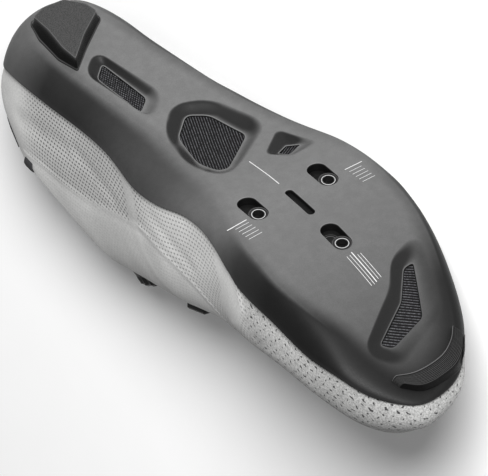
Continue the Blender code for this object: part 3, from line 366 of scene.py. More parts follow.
def signed_distance(points, outline):
    """Distance of plan points from a closed outline, positive inside it."""
    a, b = outline, np.roll(outline, -1, axis=0)
    nearest = np.full(len(points), 1e9)
    inside = np.zeros(len(points), bool)
    for start, end in zip(a, b):
        edge = end - start
        share = np.clip(((points - start) @ edge) / max(edge @ edge, 1e-18), 0.0, 1.0)
        nearest = np.minimum(nearest, np.linalg.norm(points - start - share[:, None] * edge, axis=1))
        crosses = (start[1] > points[:, 1]) != (end[1] > points[:, 1])
        if start[1] != end[1]:
            inside ^= crosses & (points[:, 0] < start[0] + edge[0] * (points[:, 1] - start[1]) / edge[1])
    return np.where(inside, nearest, -nearest)


def capsule_outline(x, start_y, end_y, width):
    """Long hole with round ends."""
    radius = width / 2
    turns = np.linspace(0, math.pi, 4 * CORNER_STEPS + 1)
    front = np.stack([x + radius * np.cos(turns), end_y - radius + radius * np.sin(turns)], -1)
    back = np.stack([x - radius * np.cos(turns), start_y + radius - radius * np.sin(turns)], -1)
    return np.concatenate([front, back])


def bolt_places():
    half = BOLT_SPREAD / 2
    return ((-half, BOLT_ALONG), (half, BOLT_ALONG), (0.0, BOLT_ALONG + BOLT_PITCH))


def divided(outlines, spacing):
    """The same closed outlines, each edge cut into equally many pieces on all of them."""
    result = [[] for _ in outlines]
    for index in range(len(outlines[0])):
        pairs = [(outline[index], outline[(index + 1) % len(outline)]) for outline in outlines]
        pieces = max(1, math.ceil(max(np.linalg.norm(end - start) for start, end in pairs) / spacing))
        for target, (start, end) in zip(result, pairs):
            target += [start + (end - start) * step / pieces for step in range(pieces)]
    return [np.array(points) for points in result]


def inset(outline, distance):
    """Closed outline moved inwards."""
    area = np.sum(outline[:, 0] * np.roll(outline[:, 1], -1) - np.roll(outline[:, 0], -1) * outline[:, 1])
    edge = np.roll(outline, -1, 0) - np.roll(outline, 1, 0)
    edge /= np.maximum(np.linalg.norm(edge, axis=1, keepdims=True), 1e-12)
    return outline + np.stack([-edge[:, 1], edge[:, 0]], -1) * distance * (1.0 if area > 0 else -1.0)


class Patchwork:
    """Points, faces and named values of one mesh, gathered piece by piece."""

    def __init__(self, *names):
        self.points, self.faces, self.count = [], [], 0
        self.values = {name: [] for name in names}

    def add(self, points, faces, **values):
        points = np.asarray(points, float).reshape(-1, 3)
        values.setdefault("tone", sole_tone(points[:, 1], 0.0))
        self.faces += [[corner + self.count for corner in face] for face in faces]
        for name, store in self.values.items():
            store.append(np.broadcast_to(np.asarray(values.get(name, 0.0), float), len(points)))
        self.points.append(points)
        self.count += len(points)

    def finish(self, name, material, smooth):
        values = {key: np.concatenate(parts) for key, parts in self.values.items()}
        return shoe_object(name, np.concatenate(self.points), self.faces, material, values, smooth)


# Lightness of the sole along the shoe, painted shade included: along in millimetres, flat under side (painted
# darker towards the toe), inner side wall (painted dark as shade)
SOLE_TONES = (
    (-15.0, 0.108, 0.080), (12.0, 0.108, 0.070), (35.0, 0.108, 0.014), (60.0, 0.106, 0.012),
    (80.0, 0.104, 0.018), (118.0, 0.102, 0.034), (145.0, 0.098, 0.062), (165.0, 0.096, 0.066),
    (182.0, 0.092, 0.020), (205.0, 0.082, 0.007), (235.0, 0.060, 0.006), (258.0, 0.034, 0.005),
    (272.0, 0.010, 0.004), (290.0, 0.005, 0.004),
)


def sole_tone(y, wall):
    """Lightness of the sole, painted shade included, where wall is 0 on the flat under side and 1 at the rim.
    """
    table = np.array(SOLE_TONES)
    flat = np.interp(y / MM, table[:, 0], table[:, 1])
    side = np.interp(y / MM, table[:, 0], table[:, 2])
    reach = 0.34 - 0.24 * smoothstep(195 * MM, 245 * MM, y)
    return flat + (side - flat) * smoothstep(-0.3, 1.0, wall / reach)


def flat_tone(plan, border):
    """Lightness of the flat under side, with painted shade that darkens it towards its edge, more so at the
    toe.
    """
    sideways = smoothstep(-18 * MM, -4 * MM, plan[:, 0])
    reach = 5.5 + (4.0 + 5.0 * sideways) * smoothstep(195 * MM, 245 * MM, plan[:, 1])
    fade = smoothstep(0.0, 1.0, signed_distance(plan, border) / (reach * MM))
    edge_tone = sole_tone(plan[:, 1], 0.10)
    return edge_tone + (sole_tone(plan[:, 1], 0.0) - edge_tone) * fade


def on_sole(plan, depth):
    return np.column_stack([plan, bottom_height(plan[:, 1]) + depth * MM])


def cup_points(angles, floor_steps=60):
    """Outer face of the cup: one row for each station, from the inner rim under the shoe to the outer rim."""
    share = np.linspace(0, 1, WALL_STEPS + 1)
    inner, outer = cup_wall(angles, share), cup_wall(2 * math.pi - angles, share)
    across = np.linspace(0, 1, floor_steps + 1)[1:-1, None]
    floor = inner[:, -1:, :] + (outer[:, -1:, :] - inner[:, -1:, :]) * across[None]
    return np.concatenate([inner, floor, outer[:, ::-1]], 1)


def upward(normals, grid):
    return normals if normals[len(grid) // 2, grid.shape[1] // 2, 2] > 0 else -normals


def cup_side(patch, turn, shade):
    """One side of the cup with the rounded lip of its rim and the start of its inner face, painted with the
    sole's shade and with a highlight along the lip.
    """
    grid = cup_wall(turn, np.linspace(0, 1, WALL_STEPS + 1))
    normal = upward(grid_normals(grid), grid)
    middle = len(grid) // 2
    if normal[middle, 0, 0] * grid[middle, 0, 0] > 0:
        normal = -normal
    edge, edge_normal = grid[:, 0], normal[:, 0]
    out = edge - grid[:, 5]
    out /= np.maximum(np.linalg.norm(out, axis=-1, keepdims=True), 1e-12)
    radius = CUP_WALL / 2
    turns = np.linspace(0, math.pi, 8)[1:]
    lip = [edge + edge_normal * radius * (1 - math.cos(t)) + out * radius * 0.6 * math.sin(t) for t in turns]
    lip.append(grid[:, 6] + normal[:, 6] * CUP_WALL)
    whole = np.concatenate([np.stack(lip[::-1], 1), grid], 1)
    extra = len(lip)
    wall = np.concatenate([np.ones(extra), np.linspace(1, 0, WALL_STEPS + 1)])
    # Painted highlight along the lip and the top of the wall
    rim = np.concatenate([np.ones(extra), smoothstep(0.86, 1.0, np.linspace(1, 0, WALL_STEPS + 1))])
    rows = len(grid)
    # Painted shade: the wall darkens from the flat towards the rim, and by the factor shade on this side
    tone = sole_tone(whole[..., 1], 0.10 + 0.90 * wall[None, :])
    tone = tone * (1.0 - (1.0 - shade) * smoothstep(0.0, 0.25, wall))
    patch.add(whole, grid_faces(rows, whole.shape[1]), rim=np.tile(rim, rows), tone=tone.ravel())


def make_sole(material):
    """Outer face of the cup: flat under side with its windows and slots cut out, their walls, the sides."""
    # The values recess, rim and tone carry the painted shade and highlights that the composite reads
    patch = Patchwork("recess", "rim", "tone")
    angles = station_angles(1.0 * MM)
    inner_edge, outer_edge = border_points(angles), border_points(2 * math.pi - angles)
    border = np.concatenate([inner_edge, outer_edge[-2:0:-1]])[:, :2]
    holes = []
    for name, (table, radius) in WINDOWS.items():
        rows = np.array(table) * MM
        inner_line = rounded_outline(rows[:, :2], radius * MM)
        outer_line = rounded_outline(rows[:, 2:], 2.5 * radius * MM)
        mesh_line, recess_line = divided((inner_line, outer_line), HOLE_SPACING)
        recess_line = inset(recess_line, -SHOULDER[name] * MM)
        holes.append(recess_line)
        rings = [(recess_line + (mesh_line - recess_line) * share, depth) for share, depth in RECESS_PROFILE]
        rings += [(inset(mesh_line, distance * MM), depth) for distance, depth in FRAME_PROFILE]
        # Painted shade on each recess wall, strongest midway down and on the walls facing away from
        # SHADE_AWAY
        outward = recess_line - mesh_line
        outward /= np.maximum(np.linalg.norm(outward, axis=1, keepdims=True), 1e-12)
        facing = 0.66 - 0.46 * (outward @ np.array(SHADE_AWAY[name]))
        shares = np.array([share for share, depth in RECESS_PROFILE])
        strength = np.sin(math.pi * np.minimum(1.0, shares / 1.02)) ** 0.7
        shades = np.minimum(strength[:, None] * 1.45 * facing[None], 1.0)
        # Painted highlight on the frame round the mesh, then painted shade going to black down the wall to
        # the mesh
        frame = np.repeat([[-0.08], [-0.12], [0.4], [2.0], [2.0]], len(mesh_line), 1)
        points = np.stack([on_sole(line, depth) for line, depth in rings], 0)
        patch.add(
            points, grid_faces(len(rings), len(mesh_line), wrap=True),
            recess=np.minimum(np.concatenate([shades, frame]), 2.0).ravel(),
            tone=flat_tone(points.reshape(-1, 3)[:, :2], border),
        )
    slots = [
        (capsule_outline(x, y - SLOT_TRAVEL - SLOT_WIDTH / 2, y + SLOT_WIDTH / 2, SLOT_WIDTH), SOLE_THICKNESS)
        for x, y in bolt_places()
    ]
    slots.append((capsule_outline(0.0, *CENTRE_SLOT_ENDS, CENTRE_SLOT_WIDTH), 2.2 * MM))
    for outline, deepest in slots:
        (outline,) = divided((outline,), HOLE_SPACING)
        holes.append(outline)
        rings = [(inset(outline, move * MM), min(depth, deepest / MM)) for move, depth in SLOT_PROFILE]
        points = np.stack([on_sole(line, depth) for line, depth in rings], 0)
        # Painted highlight on the slot's edge, then painted shade going to black down its wall
        shades = (0.0, -0.5, 0.2, 1.0, 2.0, 2.0)
        patch.add(
            points, grid_faces(len(rings), len(outline), wrap=True), recess=np.repeat(shades, len(outline)),
            tone=flat_tone(points.reshape(-1, 3)[:, :2], border),
        )
        if deepest < 3 * MM:
            # The shallow centre slot gets a floor painted black as shade
            floor = rings[-1][0]
            middle = floor.mean(0)[None]
            points = on_sole(np.concatenate([floor, middle]), deepest / MM)
            fan = [(i, (i + 1) % len(floor), len(floor)) for i in range(len(floor))]
            patch.add(points, fan, recess=2.0)
    low, high = border.min(0), border.max(0)
    xs, ys = np.arange(low[0], high[0], FLAT_SPACING), np.arange(low[1], high[1], FLAT_SPACING)
    x, y = np.meshgrid(xs, ys)
    x = x + (np.arange(len(ys)) % 2)[:, None] * FLAT_SPACING / 2
    spots = np.column_stack([x.ravel(), y.ravel()])
    spots = spots[signed_distance(spots, border) > (BORDER_RINGS[-1] + 0.6) * MM]
    spots = np.concatenate([inset(border, distance * MM) for distance in BORDER_RINGS] + [spots])
    keep = np.ones(len(spots), bool)
    for outline in holes:
        keep &= signed_distance(spots, outline) < -0.5 * FLAT_SPACING
    loops = [border] + holes
    everything = np.concatenate(loops + [spots[keep]])
    edges, first = [], 0
    for loop in loops:
        edges += [(first + i, first + (i + 1) % len(loop)) for i in range(len(loop))]
        first += len(loop)
    result = delaunay_2d_cdt([Vector(spot) for spot in everything.tolist()], edges, [], 0, 1e-9)
    plan = np.array([tuple(spot) for spot in result[0]])
    triangles = np.array(result[2])
    centres = plan[triangles].mean(1)
    inside = signed_distance(centres, border) > 0
    for outline in holes:
        inside &= signed_distance(centres, outline) < 0
    patch.add(on_sole(plan, 0.0), triangles[inside].tolist(), tone=flat_tone(plan, border))
    # The outer side's wall is painted darker, by the factor 0.8, as shade
    cup_side(patch, angles, 1.0)
    cup_side(patch, 2 * math.pi - angles, 0.8)
    piece = patch.finish("sole_shell", material, 50)
    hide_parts("sole_plate")
    return piece


# Heel pad as it shows: corner by corner, base outline (x, y) and tread outline (x, y), in millimetres
PAD_CORNERS = (
    (-29.3, 5.3, -30.9, 11.2), (-17.0, 2.8, -24.3, 8.6), (-8.0, 5.0, -13.8, 9.6),
    (-4.0, 12.0, -7.6, 17.4), (-2.6, 21.6, -6.2, 23.8), (-18.0, 33.6, -18.9, 33.2),
    (-29.4, 43.6, -30.6, 44.2), (-32.6, 33.0, -31.3, 34.8), (-32.4, 17.0, -30.2, 22.0),
)
# Its side: share of the way from base to tread, share of the height, and strength of the painted highlight
# there
PAD_PROFILE = (
    (0.00, -0.10, 0.2), (0.00, 0.08, 0.2), (0.02, 0.13, 0.9), (0.08, 0.16, 0.5),
    (0.16, 0.18, 0.0), (0.36, 0.25, 0.0), (0.58, 0.40, 0.0), (0.76, 0.60, 0.0),
    (0.88, 0.79, 0.1), (0.95, 0.91, 0.4), (0.99, 0.98, 1.0), (1.00, 1.00, 1.0),
)


def make_heel_pad(material):
    """Rubber heel pad: scooped sides with a thin bead round the tread, and painted highlights along the bead
    and the foot of its sides.
    """
    rows = np.array(PAD_CORNERS) * MM
    outlines = (rounded_outline(rows[:, :2], 1.6 * MM), rounded_outline(rows[:, 2:], 1.2 * MM))
    base, tread = divided(outlines, 1.0 * MM)
    patch = Patchwork("edge", "tread")
    top = on_sole(base, 0.0)
    ground = np.column_stack([tread, np.full(len(tread), 0.0)])
    rings, shades = [], []
    for share, height, shade in PAD_PROFILE:
        plan = base + (tread - base) * share
        rings.append(np.column_stack([plan, top[:, 2] * (1.0 - height)]))
        shades.append(shade)
    centre = ground[:, :2].mean(0)
    # Tread rings: the third value is the painted highlight along the bead
    for size, lift, shade in ((0.985, -0.02, 1.0), (0.972, 0.05, 0.2), (0.94, 0.06, 0.0), (0.5, 0.06, 0.0)):
        rings.append(np.column_stack([centre + (tread - centre) * size, np.full(len(tread), lift * MM)]))
        shades.append(shade)
    rings.append(np.column_stack([np.tile(centre, (len(tread), 1)), np.full(len(tread), 0.06 * MM)]))
    shades.append(0.0)
    treads = [0.0] * (len(PAD_PROFILE) + 1) + [1.0] * 4
    patch.add(
        np.stack(rings, 0), grid_faces(len(rings), len(tread), wrap=True),
        edge=np.repeat(shades, len(tread)), tread=np.repeat(treads, len(tread)),
    )
    piece = patch.finish("heel_block", material, 40)
    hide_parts("heel_pad")
    return piece


# Bumper as it shows, from the inner to the outer side: rear edge (x, y) and front edge (x, y), in millimetres
BUMPER_LINES = (
    (-20.2, 266.2, -18.6, 270.6), (-9.4, 268.6, -9.2, 275.6), (3.4, 267.6, 5.4, 275.0),
    (11.4, 263.8, 14.4, 269.6), (16.4, 258.4, 20.2, 262.4),
)
BUMPER_ALONG = 72
BUMPER_ACROSS = 60
BUMPER_RIBS = 10


def make_toe_bumper(material, tree):
    """Rubber toe bumper: a bead along its rear edge, fine ribs along its length and a plain front, with
    painted highlights on the bead and the rib crests.
    """
    table = np.array(BUMPER_LINES) * MM
    place = np.linspace(0, len(table) - 1, BUMPER_ALONG + 1)
    order = np.arange(len(table))
    lines = [curve(np.column_stack([order, table[:, index]]), place) for index in range(4)]
    rear, front = np.column_stack(lines[:2]), np.column_stack(lines[2:])
    across = np.linspace(0, 1, BUMPER_ACROSS + 1)
    plan = rear[:, None] + (front - rear)[:, None] * across[None, :, None]
    height = 1.0 - 0.10 * smoothstep(0.06, 0.14, across)
    ribs = 0.5 + 0.5 * np.cos(2 * math.pi * BUMPER_RIBS * (across - 0.14) / 0.76)
    ribbed = smoothstep(0.12, 0.16, across) * (1.0 - smoothstep(0.88, 0.92, across))
    height -= 0.10 * (1.0 - ribs) * ribbed
    height *= np.clip(across / 0.05, 0, 1) ** 0.4 * (1.0 - smoothstep(0.90, 1.0, across) * 0.75)
    ends = np.clip(np.minimum(place, place[-1] - place) / 0.18, 0, 1) ** 0.5
    base = np.zeros(plan.shape[:2])
    for r in range(plan.shape[0]):
        for c in range(plan.shape[1]):
            hit = tree.ray_cast(Vector((*plan[r, c], -1.0)), Vector((0, 0, 1)))[0]
            if hit is None:
                hit = tree.find_nearest(Vector((*plan[r, c], bottom_height(plan[r, c, 1]))))[0]
            base[r, c] = hit.z
    z = base - TOE_BUMPER_HEIGHT * height[None] * ends[:, None] + 0.3 * MM * (1.0 - ends[:, None])
    grid = np.concatenate([plan, z[..., None]], -1)
    skirt = np.concatenate([plan, (base + 0.6 * MM)[..., None]], -1)
    patch = Patchwork("edge", "tread")
    # Painted highlight on the bead and on the crests of the ribs
    bead = 1.0 - smoothstep(0.04, 0.11, across)
    crest_highlight = np.where(ribbed > 0.5, 0.45 * ribs**3, 0.0) + bead
    rows = len(place)
    patch.add(grid, grid_faces(*grid.shape[:2]), edge=np.tile(crest_highlight, rows), tread=np.tile(ribbed, rows))
    rim_top = np.concatenate([grid[0], grid[1:, -1], grid[-1, -2::-1], grid[-2:0:-1, 0]])
    rim_low = np.concatenate([skirt[0], skirt[1:, -1], skirt[-1, -2::-1], skirt[-2:0:-1, 0]])
    patch.add(np.stack([rim_top, rim_low], 0), grid_faces(2, len(rim_top), wrap=True))
    piece = patch.finish("toe_bumper_ribbed", material, 45)
    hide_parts("toe_bumper")
    return piece


# Rounding of the upper's ridge at the toe: where it starts, as a share of SOLE_LENGTH, and how far it drops,
# as a share of INSTEP_HEIGHT
TIP_START = 0.935
TIP_DROP = 0.055


def arch_points(base, side, share, angles):
    """Outer face of the upper above the rim: (stations, shares) points, from the rim to the ridge."""
    along = base[:, 1] / SOLE_LENGTH
    ridge_x = (curve(column(RIDGE, 1), along) * BALL_WIDTH)[:, None]
    tip = np.clip((along - TIP_START) / (RIM[-1][0] - TIP_START), 0.0, 1.0)
    ridge_z = curve(column(RIDGE, 2), along) - TIP_DROP * (1.0 - np.sqrt(1.0 - tip * tip))
    ridge_z = (ridge_z * INSTEP_HEIGHT)[:, None]
    swell = (curve(column(RIDGE, 3), along) * BALL_WIDTH)[:, None]
    spaced = np.clip(share, 0.0, 1.0)**ARCH_SPACING
    turn = 0.5 * math.pi * spaced
    open_width = np.sqrt(np.clip(np.sin(angles), 0.0, 1.0))[:, None]
    rise = np.clip(np.sin(turn), 0, 1)**ARCH_FULLNESS
    x = ridge_x + (base[:, :1] - ridge_x) * np.clip(np.cos(turn), 0, 1)**ARCH_FULLNESS
    x = x + side * swell * open_width * np.sin(math.pi * spaced) * (1.0 - share)
    z = base[:, 2:] + (ridge_z - base[:, 2:]) * rise
    shift = curve(HEEL_CURVE, z / INSTEP_HEIGHT) - curve(HEEL_CURVE, base[:, 2:] / INSTEP_HEIGHT)
    heel_fade = 1.0 - smoothstep(0.0, HEEL_CURVE_REACH, base[:, 1:2] - SOLE_LENGTH * RIM[0][0])
    y = base[:, 1:2] - SOLE_LENGTH * shift * heel_fade
    shift = curve(TOE_CURVE, z / INSTEP_HEIGHT) - curve(TOE_CURVE, base[:, 2:] / INSTEP_HEIGHT)
    toe_fade = 1.0 - smoothstep(0.0, TOE_CURVE_REACH, SOLE_LENGTH * RIM[-1][0] - base[:, 1:2])
    return np.stack([x, y + SOLE_LENGTH * shift * toe_fade, z], -1)


def throat_middle(along):
    return curve(THROAT_LINE, along) * BALL_WIDTH


def throat_half(along):
    first, last = THROAT_LINE[0][0], THROAT_LINE[-1][0]
    share = np.clip((along - first) / (last - first), 0.0, 1.0)
    return 0.5 * (THROAT_WIDTH_TOP + (THROAT_WIDTH_TOE - THROAT_WIDTH_TOP) * share)


def outside_opening(points):
    """Positive where the upper is, negative inside the collar's mouth and the throat."""
    x, y, z = points[..., 0], points[..., 1], points[..., 2]
    along = y / SOLE_LENGTH
    below_collar = curve(COLLAR_LINE, along) * INSTEP_HEIGHT - z
    below_collar = np.where(along > COLLAR_LINE[-1][0], 1.0, below_collar)
    first, last = THROAT_LINE[0][0], THROAT_LINE[-1][0]
    beside = np.abs(x - throat_middle(along)) - throat_half(along)
    beyond = np.hypot(x - throat_middle(last), y - last * SOLE_LENGTH) - throat_half(last)
    throat = np.where(along < first, 1.0, np.where(along > last, beyond, beside))
    high = z > 0.38 * INSTEP_HEIGHT
    return np.minimum(below_collar, np.where(high, throat, 1.0))


def opening_share(base, side, angles):
    """Share of the arch at which the upper ends at its collar or throat, and 1 where it is closed."""
    samples = np.linspace(0, 1, 401)
    value = outside_opening(arch_points(base, side, samples[None, :], angles))
    cut = value < 0
    index = np.where(cut.any(1), cut.argmax(1), 400)
    rows = np.arange(len(base))
    before = np.maximum(index - 1, 0)
    low, high = value[rows, before], value[rows, index]
    part = np.where(cut.any(1), low / np.where(low - high == 0, 1, low - high), 1.0)
    return samples[before] + (samples[index] - samples[before]) * np.clip(part, 0, 1)


ARCH_COLUMNS = 80
LIP_STEPS = 7
COLLAR_PAD = 1.5 * MM
# Seam ridges on the upper: points (along, height) in the side view, then half width and lift in millimetres.
# They lie on the inner side as placed, and on the outer side a little lower.
SEAMS = (
    ((
        (0.310, 0.185), (0.335, 0.225), (0.348, 0.300), (0.357, 0.426), (0.376, 0.570), (0.402, 0.668),
        (0.440, 0.760),
    ), 4.6, 0.10),
    ((
        (0.060, 0.640), (0.102, 0.617), (0.153, 0.614), (0.197, 0.601), (0.255, 0.550), (0.310, 0.484),
        (0.376, 0.425),
    ), 2.2, 0.22),
    ((
        (0.376, 0.425), (0.420, 0.435), (0.458, 0.458), (0.500, 0.500), (0.539, 0.558), (0.575, 0.630),
    ), 2.4, 0.24),
    (((0.640, 0.200), (0.655, 0.300), (0.640, 0.400), (0.600, 0.520)), 3.0, 0.20),
)
# Middle of the smooth patch behind the toe's holes
SMOOTH_PATCH = ((0.600, 0.20), (0.625, 0.31), (0.610, 0.42))
# Soft troughs: start and end (along, height), half width and depth in millimetres
TROUGHS = (
    ((0.060, 0.46), (0.170, 0.40), 9.0, 0.55),
    ((0.20, 0.36), (0.30, 0.42), 7.0, 0.40),
    ((0.42, 0.30), (0.50, 0.40), 7.0, 0.35),
    ((0.690, 0.40), (0.760, 0.30), 6.0, 0.35),
)


def near_line(y, z, line):
    """Distance in the side view from a line of points in shares of SOLE_LENGTH and INSTEP_HEIGHT."""
    nearest = np.full(np.shape(y), 1e9)
    for start, end in zip(line, line[1:]):
        ay, az = start[0] * SOLE_LENGTH, start[1] * INSTEP_HEIGHT
        by, bz = end[0] * SOLE_LENGTH, end[1] * INSTEP_HEIGHT
        dy, dz = by - ay, bz - az
        share = np.clip(((y - ay) * dy + (z - az) * dz) / (dy * dy + dz * dz), 0.0, 1.0)
        nearest = np.minimum(nearest, np.hypot(y - ay - share * dy, z - az - share * dz))
    return nearest


def seam_places(points, side):
    """Side-view place of points for the seam tables."""
    return points[..., 1], points[..., 2] + (0.0 if side < 0 else 3.0 * MM)


def upper_relief(points, side):
    y, z = seam_places(points, side)
    lift = np.zeros(points.shape[:-1])
    for line, half_width, height in SEAMS:
        distance = near_line(y, z, line)
        lift += height * MM * (1.0 - smoothstep(0.0, half_width * MM, distance))
        lift -= 0.25 * height * MM * np.exp(-((distance - 1.6 * half_width * MM) / (half_width * MM)) ** 2)
    for start, end, half_width, depth in TROUGHS:
        lift -= depth * MM * (1.0 - smoothstep(0.0, half_width * MM, near_line(y, z, (start, end))))
    return lift


def height_on_line(y, line):
    """Height of a seam line at a place along the shoe."""
    places = np.array(line)
    return np.interp(y, places[:, 0] * SOLE_LENGTH, places[:, 1] * INSTEP_HEIGHT)


def upper_tone(points, side):
    """Brightness of the knit by zone, 0 dark and 1 light, and strength of its small and its large holes."""
    y, z = seam_places(points, side)
    divide = height_on_line(y, SEAMS[1][0] + SEAMS[2][0][1:])
    above = smoothstep(-1.0 * MM, 1.0 * MM, z - divide) * (1.0 - smoothstep(160 * MM, 172 * MM, y))
    band = 1.0 - smoothstep(3.2 * MM, 4.8 * MM, near_line(y, z, SEAMS[0][0]))
    patch = 1.0 - smoothstep(7.0 * MM, 10.0 * MM, near_line(y, z, SMOOTH_PATCH))
    heel = 1.0 - smoothstep(12 * MM, 32 * MM, y)
    forward = smoothstep(100 * MM, 114 * MM, y) * (1.0 - above)
    tone = 0.72 + 0.20 * above * (1.0 - forward) + 0.18 * forward + 0.16 * heel
    tone += 0.04 * patch - 0.03 * band
    toe = smoothstep(186 * MM, 194 * MM, y - 0.10 * (z - 40 * MM))
    tone -= toe * (0.22 + 0.30 * smoothstep(205 * MM, 280 * MM, y))
    tone -= 0.05 * np.exp(-((near_line(y, z, SEAMS[0][0]) - 4.8 * MM) / (0.8 * MM)) ** 2)
    # Painted highlight on the two seam ridges and painted shade in the grooves beside them
    for line, half_width, height in SEAMS[1:3]:
        distance = near_line(y, z, line)
        tone += 0.05 * (1.0 - smoothstep(0.0, half_width * MM, distance))
        tone -= 0.07 * np.exp(-((distance - 1.3 * half_width * MM) / (0.5 * half_width * MM)) ** 2)
    small = (1.0 - 0.85 * above) * (1.0 - heel) * (1.0 - 0.9 * patch) * (1.0 - 0.9 * band) * (1.0 - toe)
    small *= 1.0 - 0.40 * forward
    return tone, small, toe


def lined_rim(side_turn):
    """Foot of the upper: the rim of the cup moved in by its wall and a clearance."""
    grid = cup_wall(side_turn, np.linspace(0, 0.2, 9))
    along = np.gradient(grid, axis=0)
    down = grid[:, 1] - grid[:, 0]
    normal = np.cross(along[:, 0], down)
    normal /= np.maximum(np.linalg.norm(normal, axis=-1, keepdims=True), 1e-12)
    middle = len(grid) // 2
    if normal[middle, 0] * grid[middle, 0, 0] > 0:
        normal = -normal
    return grid[:, 0] + normal * (CUP_WALL + CLEARANCE)


def upper_half_points(angles, side, ridge=None):
    """One side of the upper: its points, the share of its arch where it ends, and the line it rises from."""
    base = lined_rim(angles if side < 0 else 2 * math.pi - angles)
    end = opening_share(base, side, angles)
    share = np.linspace(0, 1, ARCH_COLUMNS + 1)[None, :] * end[:, None]
    points = arch_points(base, side, share, angles)
    if ridge is not None:
        top = arch_points(base, side, np.ones((len(angles), 1)), angles)
        points = points + (ridge - top) * smoothstep(0.45, 1.0, share)[..., None]
    return points, end, base


def make_upper(material):
    """Knitted upper: both sides, from the cup's rim to the collar, throat or ridge, with rolled edges."""
    angles = station_angles(1.15 * MM)
    inner_points, inner_end, inner_base = upper_half_points(angles, -1)
    ridge = arch_points(inner_base, -1, np.ones((len(angles), 1)), angles)
    outer_points, outer_end = upper_half_points(angles, 1, ridge)[:2]
    patch = Patchwork("u", "v", "lining", "tone", "small", "large")
    for side, points, end in ((-1, inner_points, inner_end), (1, outer_points, outer_end)):
        normal = grid_normals(points)
        outward = normal[len(angles) // 2, ARCH_COLUMNS // 3, 0] * side
        normal = normal if outward > 0 else -normal
        for end_row, ahead in ((0, -1.0), (-1, 1.0)):
            rise = 0.6 * np.array([0.0, 0.0, 1.0]) * np.maximum(normal[end_row, :, 2:], 0.0)
            normal[end_row] = (0.0, ahead, 0.0) + rise
            normal[end_row] /= np.linalg.norm(normal[end_row], axis=-1, keepdims=True)
        fade = smoothstep(0.0, 0.25, np.sin(angles))[:, None]
        points = points + normal * (upper_relief(points, side) * fade)[..., None]
        is_open = end < 0.999
        step = np.linalg.norm(np.diff(points, axis=1), axis=-1)
        arc = np.concatenate([np.zeros((len(angles), 1)), np.cumsum(step, axis=1)], 1)
        from_edge = arc[:, -1:] - arc
        along = points[..., 1] / SOLE_LENGTH
        collar = (1.0 - smoothstep(0.20, 0.27, along)) * (1.0 - smoothstep(2 * MM, 16 * MM, from_edge))
        collar = collar * is_open[:, None]
        swell = COLLAR_PAD * np.sin(np.clip(collar, 0, 1) * math.pi / 2)
        inner_face = points - normal * (UPPER_WALL + swell)[..., None]
        tangent = points[:, -1] - points[:, -4]
        tangent /= np.maximum(np.linalg.norm(tangent, axis=-1, keepdims=True), 1e-12)
        middle = 0.5 * (points[:, -1] + inner_face[:, -1])
        radius = 0.5 * np.linalg.norm(points[:, -1] - inner_face[:, -1], axis=-1, keepdims=True)
        out = (points[:, -1] - middle) / np.maximum(radius, 1e-12)
        turns = np.linspace(0, math.pi, LIP_STEPS + 2)[1:-1]
        lip = [middle + radius * (out * math.cos(t) + 0.8 * tangent * math.sin(t)) for t in turns]
        lip = np.stack(lip, 1)
        row = above_floor(np.concatenate([points, lip, inner_face[:, ::-1]], 1))
        columns = row.shape[1]

        def spread(values, edge):
            rolled = np.repeat(edge[:, None], LIP_STEPS, 1)
            return np.concatenate([values, rolled, values[:, ::-1]], 1).ravel()

        stride = np.linalg.norm(np.diff(points[:, ARCH_COLUMNS // 4], axis=0), axis=-1)
        distance_along = np.concatenate([[0.0], np.cumsum(stride)])
        tone, small, large = upper_tone(points, side)
        outside, inside = np.zeros(points.shape[:2]), np.ones(points.shape[:2])
        lining = np.concatenate([outside, np.full(lip.shape[:2], 0.3), inside], 1)
        quads = np.array(grid_faces(len(angles), columns))
        place = np.tile(np.arange(columns - 1), len(angles) - 1)
        in_lip = (place >= ARCH_COLUMNS) & (place < ARCH_COLUMNS + LIP_STEPS + 1)
        closed = ~is_open[:-1] & ~is_open[1:]
        patch.add(
            row, quads[~(in_lip & np.repeat(closed, columns - 1))].tolist(),
            u=np.repeat(distance_along, columns) / MM, v=spread(arc, arc[:, -1]) / MM, lining=lining.ravel(),
            tone=spread(tone, tone[:, -1]), small=spread(small, 0.0 * small[:, -1]),
            large=spread(large, large[:, -1]),
        )
    piece = patch.finish("knit_upper", material, 60)
    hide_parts("upper")
    return piece


